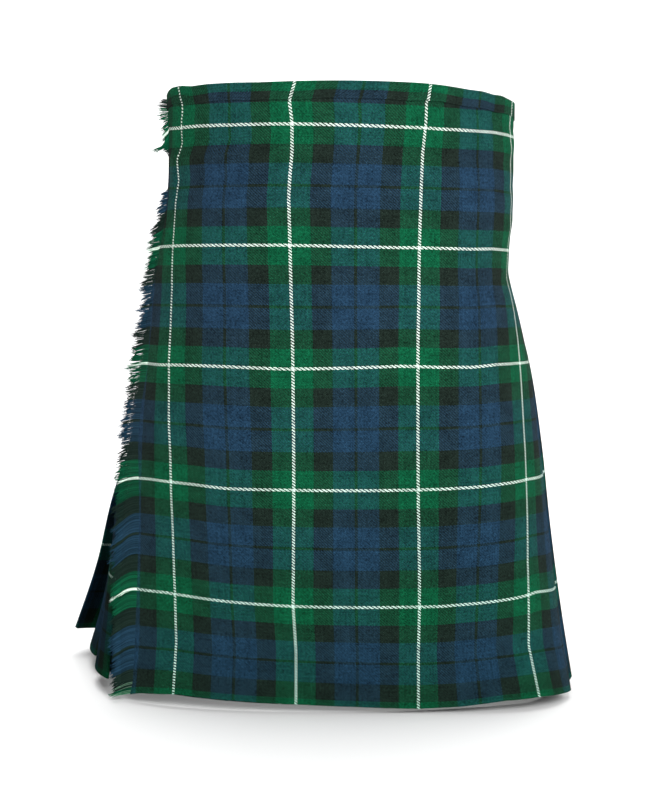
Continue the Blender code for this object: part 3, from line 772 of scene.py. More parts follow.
def under_apron_columns(outline):
    """From under the last pleat across the front, behind the over apron, to inside the first pleats."""
    fold = outline.last_fold
    line = last_lap(outline)[::-1]
    line.append((fold, outline.pleat_level(fold) - 2 * outline.open))
    end = outline.around + outline.apron_right - END_SETBACK
    places = np.linspace(fold + UNDER_EMERGES, end, UNDER_COLUMNS)
    return line + [(at, under_apron_out(outline, at)) for at in places]


def under_relief(round_by, down):
    """The under apron's soft hollows, away from both of its joins."""
    return pressed(UNDER_FOLDS)(round_by / worn(down).around, down) * min(down / UNDER_FLAT_ABOVE, 1.0)


def make_under_apron():
    """The cloth across the front behind the over apron, from the last pleat to inside the first ones."""
    settings = bpy.context.scene.kilt
    downs = np.linspace(0.0, LENGTH, UNDER_ROWS)
    grid, rounds = hang(under_apron_columns, downs, under_relief, "under")
    uv = np.zeros((*rounds.shape, 2))
    uv[:, :, 0] = [lengths_along(row) for row in grid]
    uv[:, :, 1] = [[cloth_v(0.0, down)] * rounds.shape[1] for down in downs]
    cloth = shell(grid, uv, settings.cloth_wall)
    obj = new_piece("under_apron_cloth", cloth, tartan("under_wool"), "under_apron")


# The waistband. Its stations stand along both aprons and at every quarter of a pleat.
UNDER_STATIONS = 100
OVER_STATIONS = 90
BAND_LEG = 6
BAND_OVER = 5

# How far down the band's lean is read off, how far its pressed outer leg lies in from its place, how high its
# fold over the top edge is, how high its foot ripples, and how far down its own tartan its foot lies.
BAND_LEAN_TO = 0.06
BAND_PRESS = 0.0002
BAND_CROWN = 0.0006
BAND_RIPPLE = 0.0004
RIPPLES = (61, 113)
BAND_FOOT = 0.027

# Its white lines stand where the over apron's do at this height, and lean: by how much, at three of them.
BAND_LINES_DOWN = 0.016
BAND_SKEW = table("Skew", "round by", (-0.176, -0.006), (-0.050, 0.006), (0.086, 0.0045))

# How much higher the band lies than the waist, where its free end has been pulled up.
BAND_RISES = table(
    "Rise",
    "round by",
    (-0.2130, 0.0000),
    (-0.2060, 0.0030),
    (-0.1950, 0.0045),
    (-0.1780, 0.0042),
    (-0.1600, 0.0018),
    (-0.1400, 0.0020),
    (-0.1100, 0.0012),
    (-0.0800, 0.0000),
    (0.1350, 0.0000),
    (0.1550, 0.0012),
    (0.1700, 0.0004),
    (0.1850, 0.0014),
    (0.2100, 0.0000),
)


def band_path(outline):
    """Stations of the waistband, from the under apron's free end round to the over apron's: round, and how
    far out its outer and its inner leg stand from the layers between them."""
    stations = []
    end = outline.around + outline.apron_right - END_SETBACK
    for at in np.linspace(outline.last_fold + UNDER_EMERGES, end, UNDER_STATIONS)[::-1]:
        layer = under_apron_out(outline, at)
        stations.append((at, layer + BAND_OUT, layer - BAND_OUT))
    stack = -2 * outline.open * (1 + TUCK) - CREASE / 2 - BAND_EASE
    for k in range(4 * PLEATS, 0, -1):
        at = outline.fold(k / 4)
        level = outline.pleat_level(at)
        stations.append((at, level + BAND_OUT + BAND_EASE, level + stack))
    fold = outline.apron_right
    for step in (0.0, *TURN_STEPS[:2], TURN_STEPS[2] - CREASE_REACH):
        stations.append((fold - step, BAND_OUT, stack))
    for at in np.linspace(outline.apron_left, fold - TURN_STEPS[2], OVER_STATIONS)[::-1][1:]:
        stations.append((at, BAND_OUT, -BAND_OUT))
    return stations


def band_section(tops, feet, high, low):
    """One section of the band, up its outer leg, over the top edge and down its inner leg."""
    shoulder = high - BAND_CROWN
    climb = np.linspace(0.0, 1.0, BAND_LEG)
    section = [(*(feet[0] + (tops[0] - feet[0]) * t), low + (shoulder - low) * t) for t in climb]
    middle = (tops[0] + tops[1]) / 2
    half = (tops[0] - tops[1]) / 2
    for angle in np.linspace(0.0, math.pi, BAND_OVER + 2)[1:-1]:
        section.append((*(middle + half * math.cos(angle)), shoulder + BAND_CROWN * math.sin(angle)))
    return section + [(*(tops[1] + (feet[1] - tops[1]) * t), shoulder + (low - shoulder) * t) for t in climb]


def make_waistband():
    """A strip folded over the top edge, its two legs following the cloth."""
    settings = bpy.context.scene.kilt
    upper, lower = worn(0.0), worn(BAND_LEAN_TO)
    chance = random.Random(3)
    phases = [chance.uniform(0, 2 * math.pi) for _ in RIPPLES]
    inset = np.array([-BAND_PRESS, -BAND_WALL / 2])
    sections, stands = [], []
    for (at, *outs), (at_low, *outs_low) in zip(band_path(upper), band_path(lower)):
        tops = upper.place(np.full(2, at), np.array(outs) + inset)
        below = lower.place(np.full(2, at_low), np.array(outs_low) + inset)
        feet = tops + BAND_HEIGHT / BAND_LEAN_TO * (below - tops)
        drop = dip([at])[0] - table_at(BAND_RISES, "round", at)[0]
        wave = BAND_RIPPLE * sum(math.sin(at * rate + phase) for rate, phase in zip(RIPPLES, phases))
        sections.append(band_section(tops, feet, -BAND_WALL / 2 - drop, wave - BAND_HEIGHT - drop))
        stands.append(at)
    grid = np.array(sections).transpose(1, 0, 2)[:, ::-1]
    around = np.array(stands)[::-1]
    up = np.array([lengths_along(column) for column in grid.transpose(1, 0, 2)]).T
    skew = column_at(BAND_SKEW, "round", around, "by")
    uv = np.zeros((*grid.shape[:2], 2))
    for i in range(len(grid)):
        uv[i, :, 0] = -cloth_u(around - skew * np.minimum(up[i] / BAND_HEIGHT, 1.0), BAND_LINES_DOWN)
    uv[:, :, 1] = BAND_FOOT - up
    cloth = shell(grid, uv, settings.cloth_wall)
    obj = new_piece("waistband_cloth", cloth, tartan("band_wool"), "waistband")


# The over apron's level threads, bare where the upright ones have come away, between these two heights. Each
# runs bare from inside the cloth to the free edge, a little in front of it, and ends in loose plies past it.
# Radii and the lift are in widths of a thread.
THREADS_FROM = 0.004
THREADS_TO = 0.6094
BARE_STATIONS = 6
BARE_OVERLAP = 0.004
BARE_LIFT = 0.1
BARE_SIZES = (1.1, 1.5)
BARE_SAG = 0.70
BARE_ABOVE_HEM = 0.0004
LEAD_FROM = 0.012
PLIES = 3
PLY_STEPS = 4
PLY_SIZES = (1.1, 1.35, 1.25, 0.90, 0.30)
PLY_START = 0.7
THREAD_RADIUS = 0.47
THREAD_SIDES = 4

# Threads hang in clumps: how many there are in one, and how much longer its ends are, how much further they
# fall in radians, and how much further out they turn in degrees.
Clump = namedtuple("Clump", "size reach fall turn")
CLUMP_SIZES = (5, 15)
CLUMP_REACHES = (0.62, 1.12)
CLUMP_FALLS = (-0.26, 0.34)
CLUMP_TURNS = (-12.0, 12.0)

# How a thread in a clump differs, by its place in it from -1 to 1 and by chance. It is combed towards the
# clump's middle, less where little of it is bare or where the hem is near.
COMB = 0.0015
COMB_WIDTH = 0.03
COMB_LEAST = 0.004
COMB_FROM_HEM = 0.025
COMB_FADE = 0.02
UNEVEN = 0.00022
SHORTER_AT_ENDS = 0.25
REACH_CHANCE = 0.22
GATHER = 0.22
FALL_CHANCE = 0.20
TURN_CHANCE = 12.0
CURL = 0.5
LEAST_PLY = 0.0008
FREE_PLY = 0.005


def next_clump(chance):
    """How the next few threads hang together."""
    size = chance.randint(*CLUMP_SIZES)
    return Clump(size, *(chance.uniform(*ends) for ends in (CLUMP_REACHES, CLUMP_FALLS, CLUMP_TURNS)))


class WholeApron:
    """The over apron's flat cloth with all of its upright threads."""

    def __init__(self):
        grid, rounds = apron_grid(np.linspace(0.0, LENGTH, APRON_ROWS))
        self.grid = grid[:, :FLAT_COLUMNS]
        self.shares = np.linspace(0.0, 1.0, FLAT_COLUMNS)
        self.first = float(rounds[0][0])
        self.last = float(rounds[0][FLAT_COLUMNS - 1])

    def at(self, share, down):
        """The point this share of the way across from the free edge and this far down."""
        lowest = APRON_ROWS - 1
        row = min(max(down / LENGTH * lowest, 0.0), lowest - 0.001)
        i = int(row)
        near, far = (self.on_row(share, number) for number in (i, i + 1))
        return near + (row - i) * (far - near)

    def on_row(self, share, number):
        """The point this share of the way across one row of the grid."""
        return np.array([np.interp(share, self.shares, axis) for axis in self.grid[number].T])


class BareThread:
    """A level thread from inside the cloth to the free edge, and its loose plies."""

    def __init__(self, cloth, v, gather, uneven):
        self.gather = gather
        outline = worn(round(down_of(cloth.first, v, cloth.first), 3))
        down = down_of(outline.apron_left, v, cloth.first)
        _, self.past, self.fall, self.out = table_at(FRAYS, "down", down)
        inner = frayed_in(down, outline) + BARE_OVERLAP
        width = outline.apron_right - CREASE_REACH - outline.apron_left
        above = max(LENGTH - COMB_FROM_HEM - down, COMB_LEAST)
        room = min(1.0, inner * width / COMB_WIDTH, above / COMB_FADE)
        sag = inner * width * max(self.fall, 0.0) * BARE_SAG + uneven - COMB * gather * room
        stations = []
        for t in np.linspace(1.0, 0.0, BARE_STATIONS):
            share = inner * t
            start = cloth.first + share * (cloth.last - cloth.first)
            held = down_of(outline.apron_left + share * width, v, start)
            hang_down = min(held + (1 - t) ** 2 * sag, LENGTH - BARE_ABOVE_HEM)
            stations.append(cloth.at(share, hang_down))
        self.away = stations[-1] - cloth.at(LEAD_FROM, hang_down)
        self.away[2] = 0.0
        self.away /= np.linalg.norm(self.away)
        self.normal = np.array([self.away[1], -self.away[0], 0.0])
        outwards = stations[-1] - np.array([0.0, outline.middle, 0.0])
        if self.normal[:2] @ outwards[:2] < 0:
            self.normal = -self.normal
        self.stations = np.array(stations) + self.normal * (bpy.context.scene.kilt.weft_pitch * BARE_LIFT)

    def ply(self, clump, chance):
        """The path of one loose ply, and its length."""
        shorter = 1 - SHORTER_AT_ENDS * self.gather**2
        long = self.past * (clump.reach * shorter + REACH_CHANCE * chance.uniform(-1, 1))
        long = max(long, LEAST_PLY)
        free = min(long / FREE_PLY, 1.0)
        bend = (clump.fall + GATHER * self.gather + FALL_CHANCE * chance.uniform(-1, 1)) * free
        turn = math.radians(self.out + (clump.turn + TURN_CHANCE * chance.uniform(-1, 1)) * free)
        curl = CURL * chance.uniform(-1, 1) * free
        steady = math.atan(1.4 * max(self.fall, 0.0)) + min(self.fall, 0.0)
        flat = self.away * math.cos(turn) + self.normal * math.sin(turn)
        place = self.stations[-1].copy()
        path = [self.stations[-2] * (1 - PLY_START) + place * PLY_START]
        for t in np.linspace(0.0, 1.0, PLY_STEPS):
            path.append(place.copy())
            angle = steady * (1 + 0.3 * t) + bend * (0.20 + 0.80 * t * t) + curl * t * t
            lead = flat * math.cos(0.5 * t * (1 - t)) + self.away * 0.25 * (1 - t)
            lead /= np.linalg.norm(lead)
            step = lead * math.cos(angle)
            step[2] -= math.sin(angle)
            place += step * long / (PLY_STEPS - 1)
        return path, long


def make_fringe():
    """One bare thread for each level thread of the over apron, with its plies."""
    pitch = bpy.context.scene.kilt.weft_pitch
    radius = THREAD_RADIUS * pitch
    cloth = WholeApron()
    chance = random.Random(11)
    top, foot = (cloth_v(worn(down).apron_left, down, cloth.first) for down in (THREADS_FROM, THREADS_TO))
    paths, radii, uvs = [], [], []
    left = 0
    for k in range(int((foot - top) / pitch)):
        if left == 0:
            clump = next_clump(chance)
            left = clump.size
        left -= 1
        v = top + (k + 0.5) * pitch
        thread = BareThread(cloth, v, 2 * left / clump.size - 1, UNEVEN * chance.uniform(-1, 1))
        paths.append(thread.stations)
        radii.append(radius * np.linspace(*BARE_SIZES, BARE_STATIONS))
        along = lengths_along(thread.stations) + 0.1 * chance.random()
        uvs.append(np.column_stack([along, np.full(BARE_STATIONS, v)]))
        for _ in range(PLIES):
            path, long = thread.ply(clump, chance)
            paths.append(path)
            radii.append([radius * size for size in PLY_SIZES])
            along = np.linspace(0.0, long, len(path)) + chance.random()
            uvs.append(np.column_stack([along, np.full(len(path), v)]))
    threads = tubes(paths, radii, THREAD_SIDES, uvs)
    new_piece("loose_threads", threads, loose_wool(), "apron_fringe", 80)


# The fastenings, as the part has them.
STRAP_WIDTH = 0.025
STRAP_DOWN = 0.0345
STRAP_WALL = 0.0020
STRAP_TAIL = 0.045
STRAP_POINT = 0.008
TAB_WALL = 0.0014
TAB_LONG = 0.032
STRAP_UNDER = 0.022
STRAP_SOAR = 0.8
REST = 2 * SEAM
BAR_RADIUS = 0.0013
BAR_UP = 0.0045
BAR_GAP = 0.0194
BUCKLE_HALF_HEIGHT = 0.0160
BUCKLE_CORNER = 0.003
PRONG_RADIUS = 0.0009
PRONG_LONG = 0.011
PRONG_PAST = 0.0035
KEEPER_WIDTH = 0.007
KEEPER_WALL = 0.0011
KEEPER_AFTER = 0.018
KEEPER_CORNER = 0.0012
RUBBED_EDGE = 0.0022
RUBBED_GAIN = 450.0
HOLE_PITCH = 0.0145
HOLE_RADIUS = 0.0013
HOLE_RIM = 0.0020
FIRST_HOLE = 0.012
FASTENINGS = table("Fastening", "side way to_buckle", ("right", -1, 0.068), ("left", 1, 0.060))

# How they are made here. Leather is a little thinner than its solid, so that no two layers touch.
LEATHER_SHRINK = 0.95
EDGE_SHARE = 0.266
KEEPER_SHRINK = 0.9
KEEPER_INSET = 0.0003
POINT_POWER = 1.7
STRAP_ROWS = 13
KEEPER_ROWS = 7
STITCH_ROW = 0.0100
STITCH_PITCH = 0.0026
STITCH_LONG = 0.0018
STITCH_RADII = (0.0001, 0.00028, 0.00032, 0.00028, 0.0001)

# The prong's thickness, as a share of its radius, by the share of its length.
PRONG_SHAPE = (
    (0.0, 0.35),
    (0.03, 0.75),
    (0.1, 1.0),
    (0.35, 1.0),
    (0.6, 0.97),
    (0.85, 0.9),
    (0.96, 0.65),
    (1.0, 0.3),
)


class StrapPath:
    """One height of a fastening: places by how far back from the strap's root and how far up they are."""

    def __init__(self, fastening, outline):
        self.outline = outline
        self.way = fastening.way
        if self.way < 0:
            self.root = outline.around + outline.apron_left + STRAP_UNDER
        else:
            self.root = outline.fold(1) + WALL / 2 + 2 * SEAM

    def surface(self, round_by):
        """How far out the pleats reach. On the wearer's left, the first face rises from under its fold."""
        level = self.outline.pleat_level(min(round_by, self.outline.last_fold)) + WALL / 2
        if self.way > 0:
            rise = (round_by - self.outline.fold(1)) / (self.outline.fold(2) - self.outline.fold(1))
            level -= 2 * self.outline.open * max(STRAP_SOAR - rise, 0.0)
        return level

    def at(self, back, up):
        """The (round, out) point there."""
        round_by = self.root + self.way * back
        return round_by, self.surface(round_by) + REST + up


def on_strap(fastening, back, up, z):
    """A point of a fastening, z above the strap's middle."""
    outline = worn(round(STRAP_DOWN - z, 5))
    round_by, out = StrapPath(fastening, outline).at(back, up)
    x, y = outline.place(np.array([round_by]), np.array([out]))[0]
    return x, y, TOP - outline.down - dip([round_by])[0]


def softened(steps):
    """A line of (back, up) points with its corners cut off, keeping both of its ends."""
    line = np.array(steps, float)
    near = line[:-1] * 0.75 + line[1:] * 0.25
    far = line[:-1] * 0.25 + line[1:] * 0.75
    return np.vstack([line[:1], np.hstack([near, far]).reshape(-1, 2), line[-1:]])


def round_edges(obj, width):
    """Soften the sharp edges of a piece of leather."""
    bevel = obj.modifiers.new("edges", "BEVEL")
    bevel.width = width
    bevel.segments = 2
    bevel.limit_method = "ANGLE"
    bevel.angle_limit = math.radians(60)


def leather(fastening, node, line, wall, point=0.0):
    """A strip of leather with rounded edges along this line of (back, up) points. A pointed one has holes."""
    name = node + "_leather"
    begin = line[0][0]
    reach = line[-1][0] - begin
    rows, uv = [], []
    lengths = lengths_along(line)
    for z in np.linspace(STRAP_WIDTH / 2, -STRAP_WIDTH / 2, STRAP_ROWS):
        stretch = 1 + point * (1 - abs(2 * z / STRAP_WIDTH) ** POINT_POWER) / reach if point else 1.0
        rows.append([on_strap(fastening, begin + (back - begin) * stretch, up, z) for back, up in line])
        uv.append(np.column_stack([lengths * stretch, np.full(len(line), z)]))
    material = strap_leather(name, point > 0, fastening.to_buckle + BAR_GAP)
    strip = shell(np.array(rows), np.array(uv), wall * LEATHER_SHRINK)
    round_edges(new_piece(name, strip, material, node, 40), wall * EDGE_SHARE)


def rod(path, radii, sides, long):
    """A steel rod along this path, whose uv runs this long."""
    uv = np.column_stack([np.linspace(0, long, len(path)), np.zeros(len(path))])
    return tubes([path], [radii], sides, [uv])


def make_strap(fastening):
    """The strap, from its root over the pleats, through the buckle and the keeper to its point."""
    half = STRAP_WALL / 2
    near = fastening.to_buckle
    far = near + BAR_GAP
    over = BAR_UP + BAR_RADIUS + SEAM + TAB_WALL + SEAM + half
    tail = 2 * TAB_WALL + 2 * SEAM + half
    steps = [(back, half) for back in np.linspace(0.0, near - 0.004, 14)]
    steps += [(near + 0.003, half + 0.0002), (far - 0.006, over - 0.0011), (far, over)]
    steps += [(far + 0.0045, over - 0.0006), (far + 0.010, tail + 0.0006), (far + 0.014, tail)]
    steps += [(back, tail) for back in np.linspace(far + 0.020, far + STRAP_TAIL, 6)]
    leather(fastening, "strap_" + fastening.side, softened(steps), STRAP_WALL, STRAP_POINT)


def make_tab(fastening):
    """The doubled strip round the buckle's far bar, stitched down along both sides and across its end."""
    far = fastening.to_buckle + BAR_GAP
    half = TAB_WALL / 2
    turn = BAR_RADIUS + SEAM + half
    doubled = 3 * half + SEAM
    steps = [(far + TAB_LONG, half), (far + 0.018, half), (far + 0.006, half)]
    steps += arc(far, BAR_UP, turn, -110, -315, 12)
    steps += [(far + 0.0072, doubled + 0.0008), (far + 0.0105, doubled)]
    steps += [(far + 0.018, doubled), (far + TAB_LONG, doubled)]
    node = "tab_" + fastening.side
    leather(fastening, node, softened(steps), TAB_WALL)
    up = doubled + half + 0.0001
    count = len(STITCH_RADII)
    along = np.linspace(-STITCH_LONG / 2, STITCH_LONG / 2, count)
    paths = []
    for z in (-STITCH_ROW, STITCH_ROW):
        for back in np.arange(far + 0.0255, far + TAB_LONG - 0.0005, STITCH_PITCH):
            paths.append([on_strap(fastening, back + step, up, z) for step in along])
    for z in np.arange(-STITCH_ROW, STITCH_ROW + 0.0001, STITCH_PITCH):
        paths.append([on_strap(fastening, far + TAB_LONG - 0.002, up, z + step) for step in along])
    along = np.linspace(0, 0.002, count)
    uvs = [np.column_stack([along, np.full(count, 0.01 * i)]) for i in range(len(paths))]
    stitches = tubes(paths, [STITCH_RADII] * len(paths), 6, uvs)
    new_piece(node + "_stitches", stitches, waxed_thread(), node, 80)


def make_keeper(fastening):
    """The narrow loop over the strap's tail."""
    inner_z = STRAP_WIDTH / 2 + SEAM * 2
    inner_up = 2 * TAB_WALL + 2 * SEAM + STRAP_WALL + 2 * SEAM
    z_out = inner_z + KEEPER_WALL / 2
    top = inner_up + KEEPER_WALL / 2
    corner = KEEPER_CORNER
    arch = [(z_out, up) for up in np.linspace(0.0006, top - corner, 5)]
    arch += arc(z_out - corner, top - corner, corner, 0, 90, 6)[1:]
    arch += [(z, top) for z in np.linspace(z_out - corner, 0, 7)[1:]]
    arch += [(-z, up) for z, up in reversed(arch[:-1])]
    far = fastening.to_buckle + BAR_GAP + KEEPER_AFTER
    backs = np.linspace(far + KEEPER_INSET, far + KEEPER_WIDTH - KEEPER_INSET, KEEPER_ROWS)
    grid = np.array([[on_strap(fastening, back, up, z) for z, up in arch] for back in backs])
    uv = np.zeros((*grid.shape[:2], 2))
    uv[:, :, 0] = lengths_along(arch)
    uv[:, :, 1] = np.linspace(-KEEPER_WIDTH / 2, KEEPER_WIDTH / 2, KEEPER_ROWS)[:, None]
    node = "keeper_" + fastening.side
    loop = shell(grid, uv, KEEPER_WALL * KEEPER_SHRINK)
    material = strap_leather(node, False, 0.0)
    round_edges(new_piece(node + "_leather", loop, material, node, 40), KEEPER_INSET)


def make_buckle(fastening):
    """A frame bent from one rod, and the prong that rests on its near bar."""
    near = fastening.to_buckle
    reach = BAR_GAP / 2
    path = []
    for across, upright, start in ((1, 1, 0), (-1, 1, 90), (-1, -1, 180), (1, -1, 270)):
        back = near + reach + across * (reach - BUCKLE_CORNER)
        z = upright * (BUCKLE_HALF_HEIGHT - BUCKLE_CORNER)
        path += arc(back, z, BUCKLE_CORNER, start, start + 90, 7)
    path = [on_strap(fastening, back, BAR_UP, z) for back, z in path]
    middle = tuple((np.array(path[-1]) + np.array(path[0])) / 2)
    path = [middle, *path, middle]
    node = "buckle_" + fastening.side
    frame_rod = rod(path, [BAR_RADIUS] * len(path), 14, 0.09)
    new_piece(node + "_frame", frame_rod, buckle_steel(), node, 50)
    up = BAR_UP + BAR_RADIUS + SEAM + PRONG_RADIUS
    path = [on_strap(fastening, near - PRONG_PAST + PRONG_LONG * share, up, 0.0) for share, _ in PRONG_SHAPE]
    node = "prong_" + fastening.side
    pin = rod(path, [size * PRONG_RADIUS for _, size in PRONG_SHAPE], 12, PRONG_LONG)
    new_piece(node + "_pin", pin, buckle_steel(), node, 60)


# The finishes.


class Socket:
    """An output in a material's nodes. Python's operators on it add Math nodes."""

    def __init__(self, nodes, socket):
        self.nodes = nodes
        self.socket = socket

    def maths(self, operation, *values):
        sockets = dict(enumerate((self, *values)))
        return self.nodes.add("ShaderNodeMath", {"operation": operation}, sockets)

    def at_least(self, least):
        return self.maths("MAXIMUM", least)

    def at_most(self, most):
        return self.maths("MINIMUM", most)

    def zigzag(self):
        """Down from a half and back, once for each whole number."""
        return (self.maths("FRACT") - 0.5).maths("ABSOLUTE")

    def __add__(self, other):
        return self.maths("ADD", other)

    __radd__ = __add__

    def __mul__(self, other):
        return self.maths("MULTIPLY", other)

    __rmul__ = __mul__

    def __sub__(self, other):
        return self.maths("SUBTRACT", other)

    def __rsub__(self, other):
        return (self * -1.0) + other

    def __truediv__(self, other):
        return self.maths("DIVIDE", other)

    def __pow__(self, other):
        return self.maths("POWER", other)

    def __mod__(self, other):
        return self.maths("FLOORED_MODULO", other)

    def __lt__(self, other):
        return self.maths("LESS_THAN", other)

    def __gt__(self, other):
        return self.maths("GREATER_THAN", other)


class Finish:
    """A new material and its nodes."""

    def __init__(self, name):
        self.material = bpy.data.materials.new(name)
        self.material.use_nodes = True
        self.tree = self.material.node_tree
        self.tree.nodes.clear()

    def add(self, kind, settings=None, sockets=None, output=0):
        """A new node: its settings are set first, and then its sockets, each to a value or a link."""
        node = self.tree.nodes.new(kind)
        for name, value in (settings or {}).items():
            if name == "stops":
                elements = node.color_ramp.elements
                while len(elements) > 1:
                    elements.remove(elements[-1])
                for number, (position, colour) in enumerate(value):
                    element = elements.new(position) if number else elements[0]
                    element.position = position
                    element.color = colour
            elif name == "interpolation":
                node.color_ramp.interpolation = value
            else:
                setattr(node, name, value)
        for name, value in (sockets or {}).items():
            if isinstance(value, Socket):
                self.tree.links.new(value.socket, node.inputs[name])
            else:
                node.inputs[name].default_value = value
        return None if output is None else Socket(self, node.outputs[output])

    def place_on_cloth(self):
        """The piece's own uv: across and down the cloth in metres, and both in one vector."""
        uv = self.add("ShaderNodeUVMap", {"uv_map": "cloth"})
        across, down = (self.add("ShaderNodeSeparateXYZ", sockets={0: uv}, output=axis) for axis in (0, 1))
        return across, down, uv

    def chance(self, number):
        """A steady value from 0 to 1 for each thread's number."""
        return self.add("ShaderNodeTexWhiteNoise", {"noise_dimensions": "1D"}, {"W": number})

    def grey(self, shade):
        return self.add("ShaderNodeCombineColor", sockets={0: shade, 1: shade, 2: shade})

    def noise(self, vector, scale, detail=2.0, roughness=0.5):
        sockets = {"Vector": vector, "Scale": scale, "Detail": detail, "Roughness": roughness}
        return self.add("ShaderNodeTexNoise", sockets=sockets)

    def mix(self, factor, a, b, blend="MIX"):
        settings = {"data_type": "RGBA", "blend_type": blend}
        return self.add("ShaderNodeMix", settings, {0: factor, 6: a, 7: b}, output=2)

    def bump(self, height, distance, strength=1.0):
        sockets = {"Height": height, "Distance": distance, "Strength": strength}
        return self.add("ShaderNodeBump", sockets=sockets)

    def done(self, **sockets):
        """The Principled BSDF with these sockets, and the finished material."""
        named = {key.replace("_", " "): value for key, value in sockets.items()}
        shader = self.add("ShaderNodeBsdfPrincipled", sockets=named)
        self.add("ShaderNodeOutputMaterial", sockets={"Surface": shader}, output=None)
        return self.material


# Half of the tartan, counted in threads from the middle of a white line to the middle of the blue. Threads
# are numbered from whole setts away, so that none of their numbers is below 0.
SETT = table("Stripe", "yarn threads", ("white", 2), ("green", 25), ("black", 26), ("blue", 29), ("black", 2))
HALF_SETT = float(sum(stripe.threads for stripe in SETT))
FIRST_THREAD = 50 * 2 * HALF_SETT

# The strokes of the white lines: how far apart they lie along an upright line and along a level one, how much
# of that one fills, how much more it shows than the gap, and how they lean, less so by the first upright
# line.
STROKE_UP = 0.0029
STROKE_ACROSS = 0.0047
STROKE_UP_SHARE = 0.50
STROKE_ACROSS_SHARE = 0.62
STROKE_SHOWS = 0.90
LEAN_UP = 0.70
LEAN_LESS = 0.45
LEAN_LESS_TO = 0.02
LEAN_ACROSS = 1.75

# The twill repeats after four threads. The one on top shows this much more than the one under it, and bows
# this much between its ends.
TWILL = 4.0
ON_TOP = 0.52
BOW = 0.45

# Across how much cloth the painted shade on the last pleats begins, and how much darker it is. The cloth
# is painted darker and tealer towards the hem too, a painted shade where less light reaches, from this
# height and over this length, and its fuzz is worn pale. The level threads' numbers are moved on, so that
# their dyes aren't the upright ones'.
PAINTED_SHADE_REACH = 0.05
PAINTED_SHADE_DARKER = 0.48
HEM_SHADE_FROM = 0.20
HEM_SHADE_OVER = 0.37
HEM_SHADE = (0.62, 0.80, 0.76, 1.0)
WORN_PALE = (0.30, 0.33, 0.32, 1.0)
WEFT_SEED = 0.37
WOOL_SHEEN = {"Sheen_Weight": 0.006, "Sheen_Roughness": 0.5, "Specular_IOR_Level": 0.06}


def place_in_sett(thread):
    """How many threads from the middle of a white line this one is, on its nearer side."""
    return (thread + 0.5).maths("PINGPONG", HALF_SETT)


def yarn(finish, thread):
    """The colour of a thread of the tartan, by its number from the middle of a white line."""
    settings = bpy.context.scene.kilt
    stops, count = [], 0
    for stripe in SETT:
        stops.append((count / HALF_SETT, (*getattr(settings, stripe.yarn), 1.0)))
        count += stripe.threads
    place = place_in_sett(thread) / HALF_SETT
    return finish.add("ShaderNodeValToRGB", {"interpolation": "CONSTANT", "stops": stops}, {0: place})


def is_white(thread):
    return place_in_sett(thread) < float(SETT[0].threads)


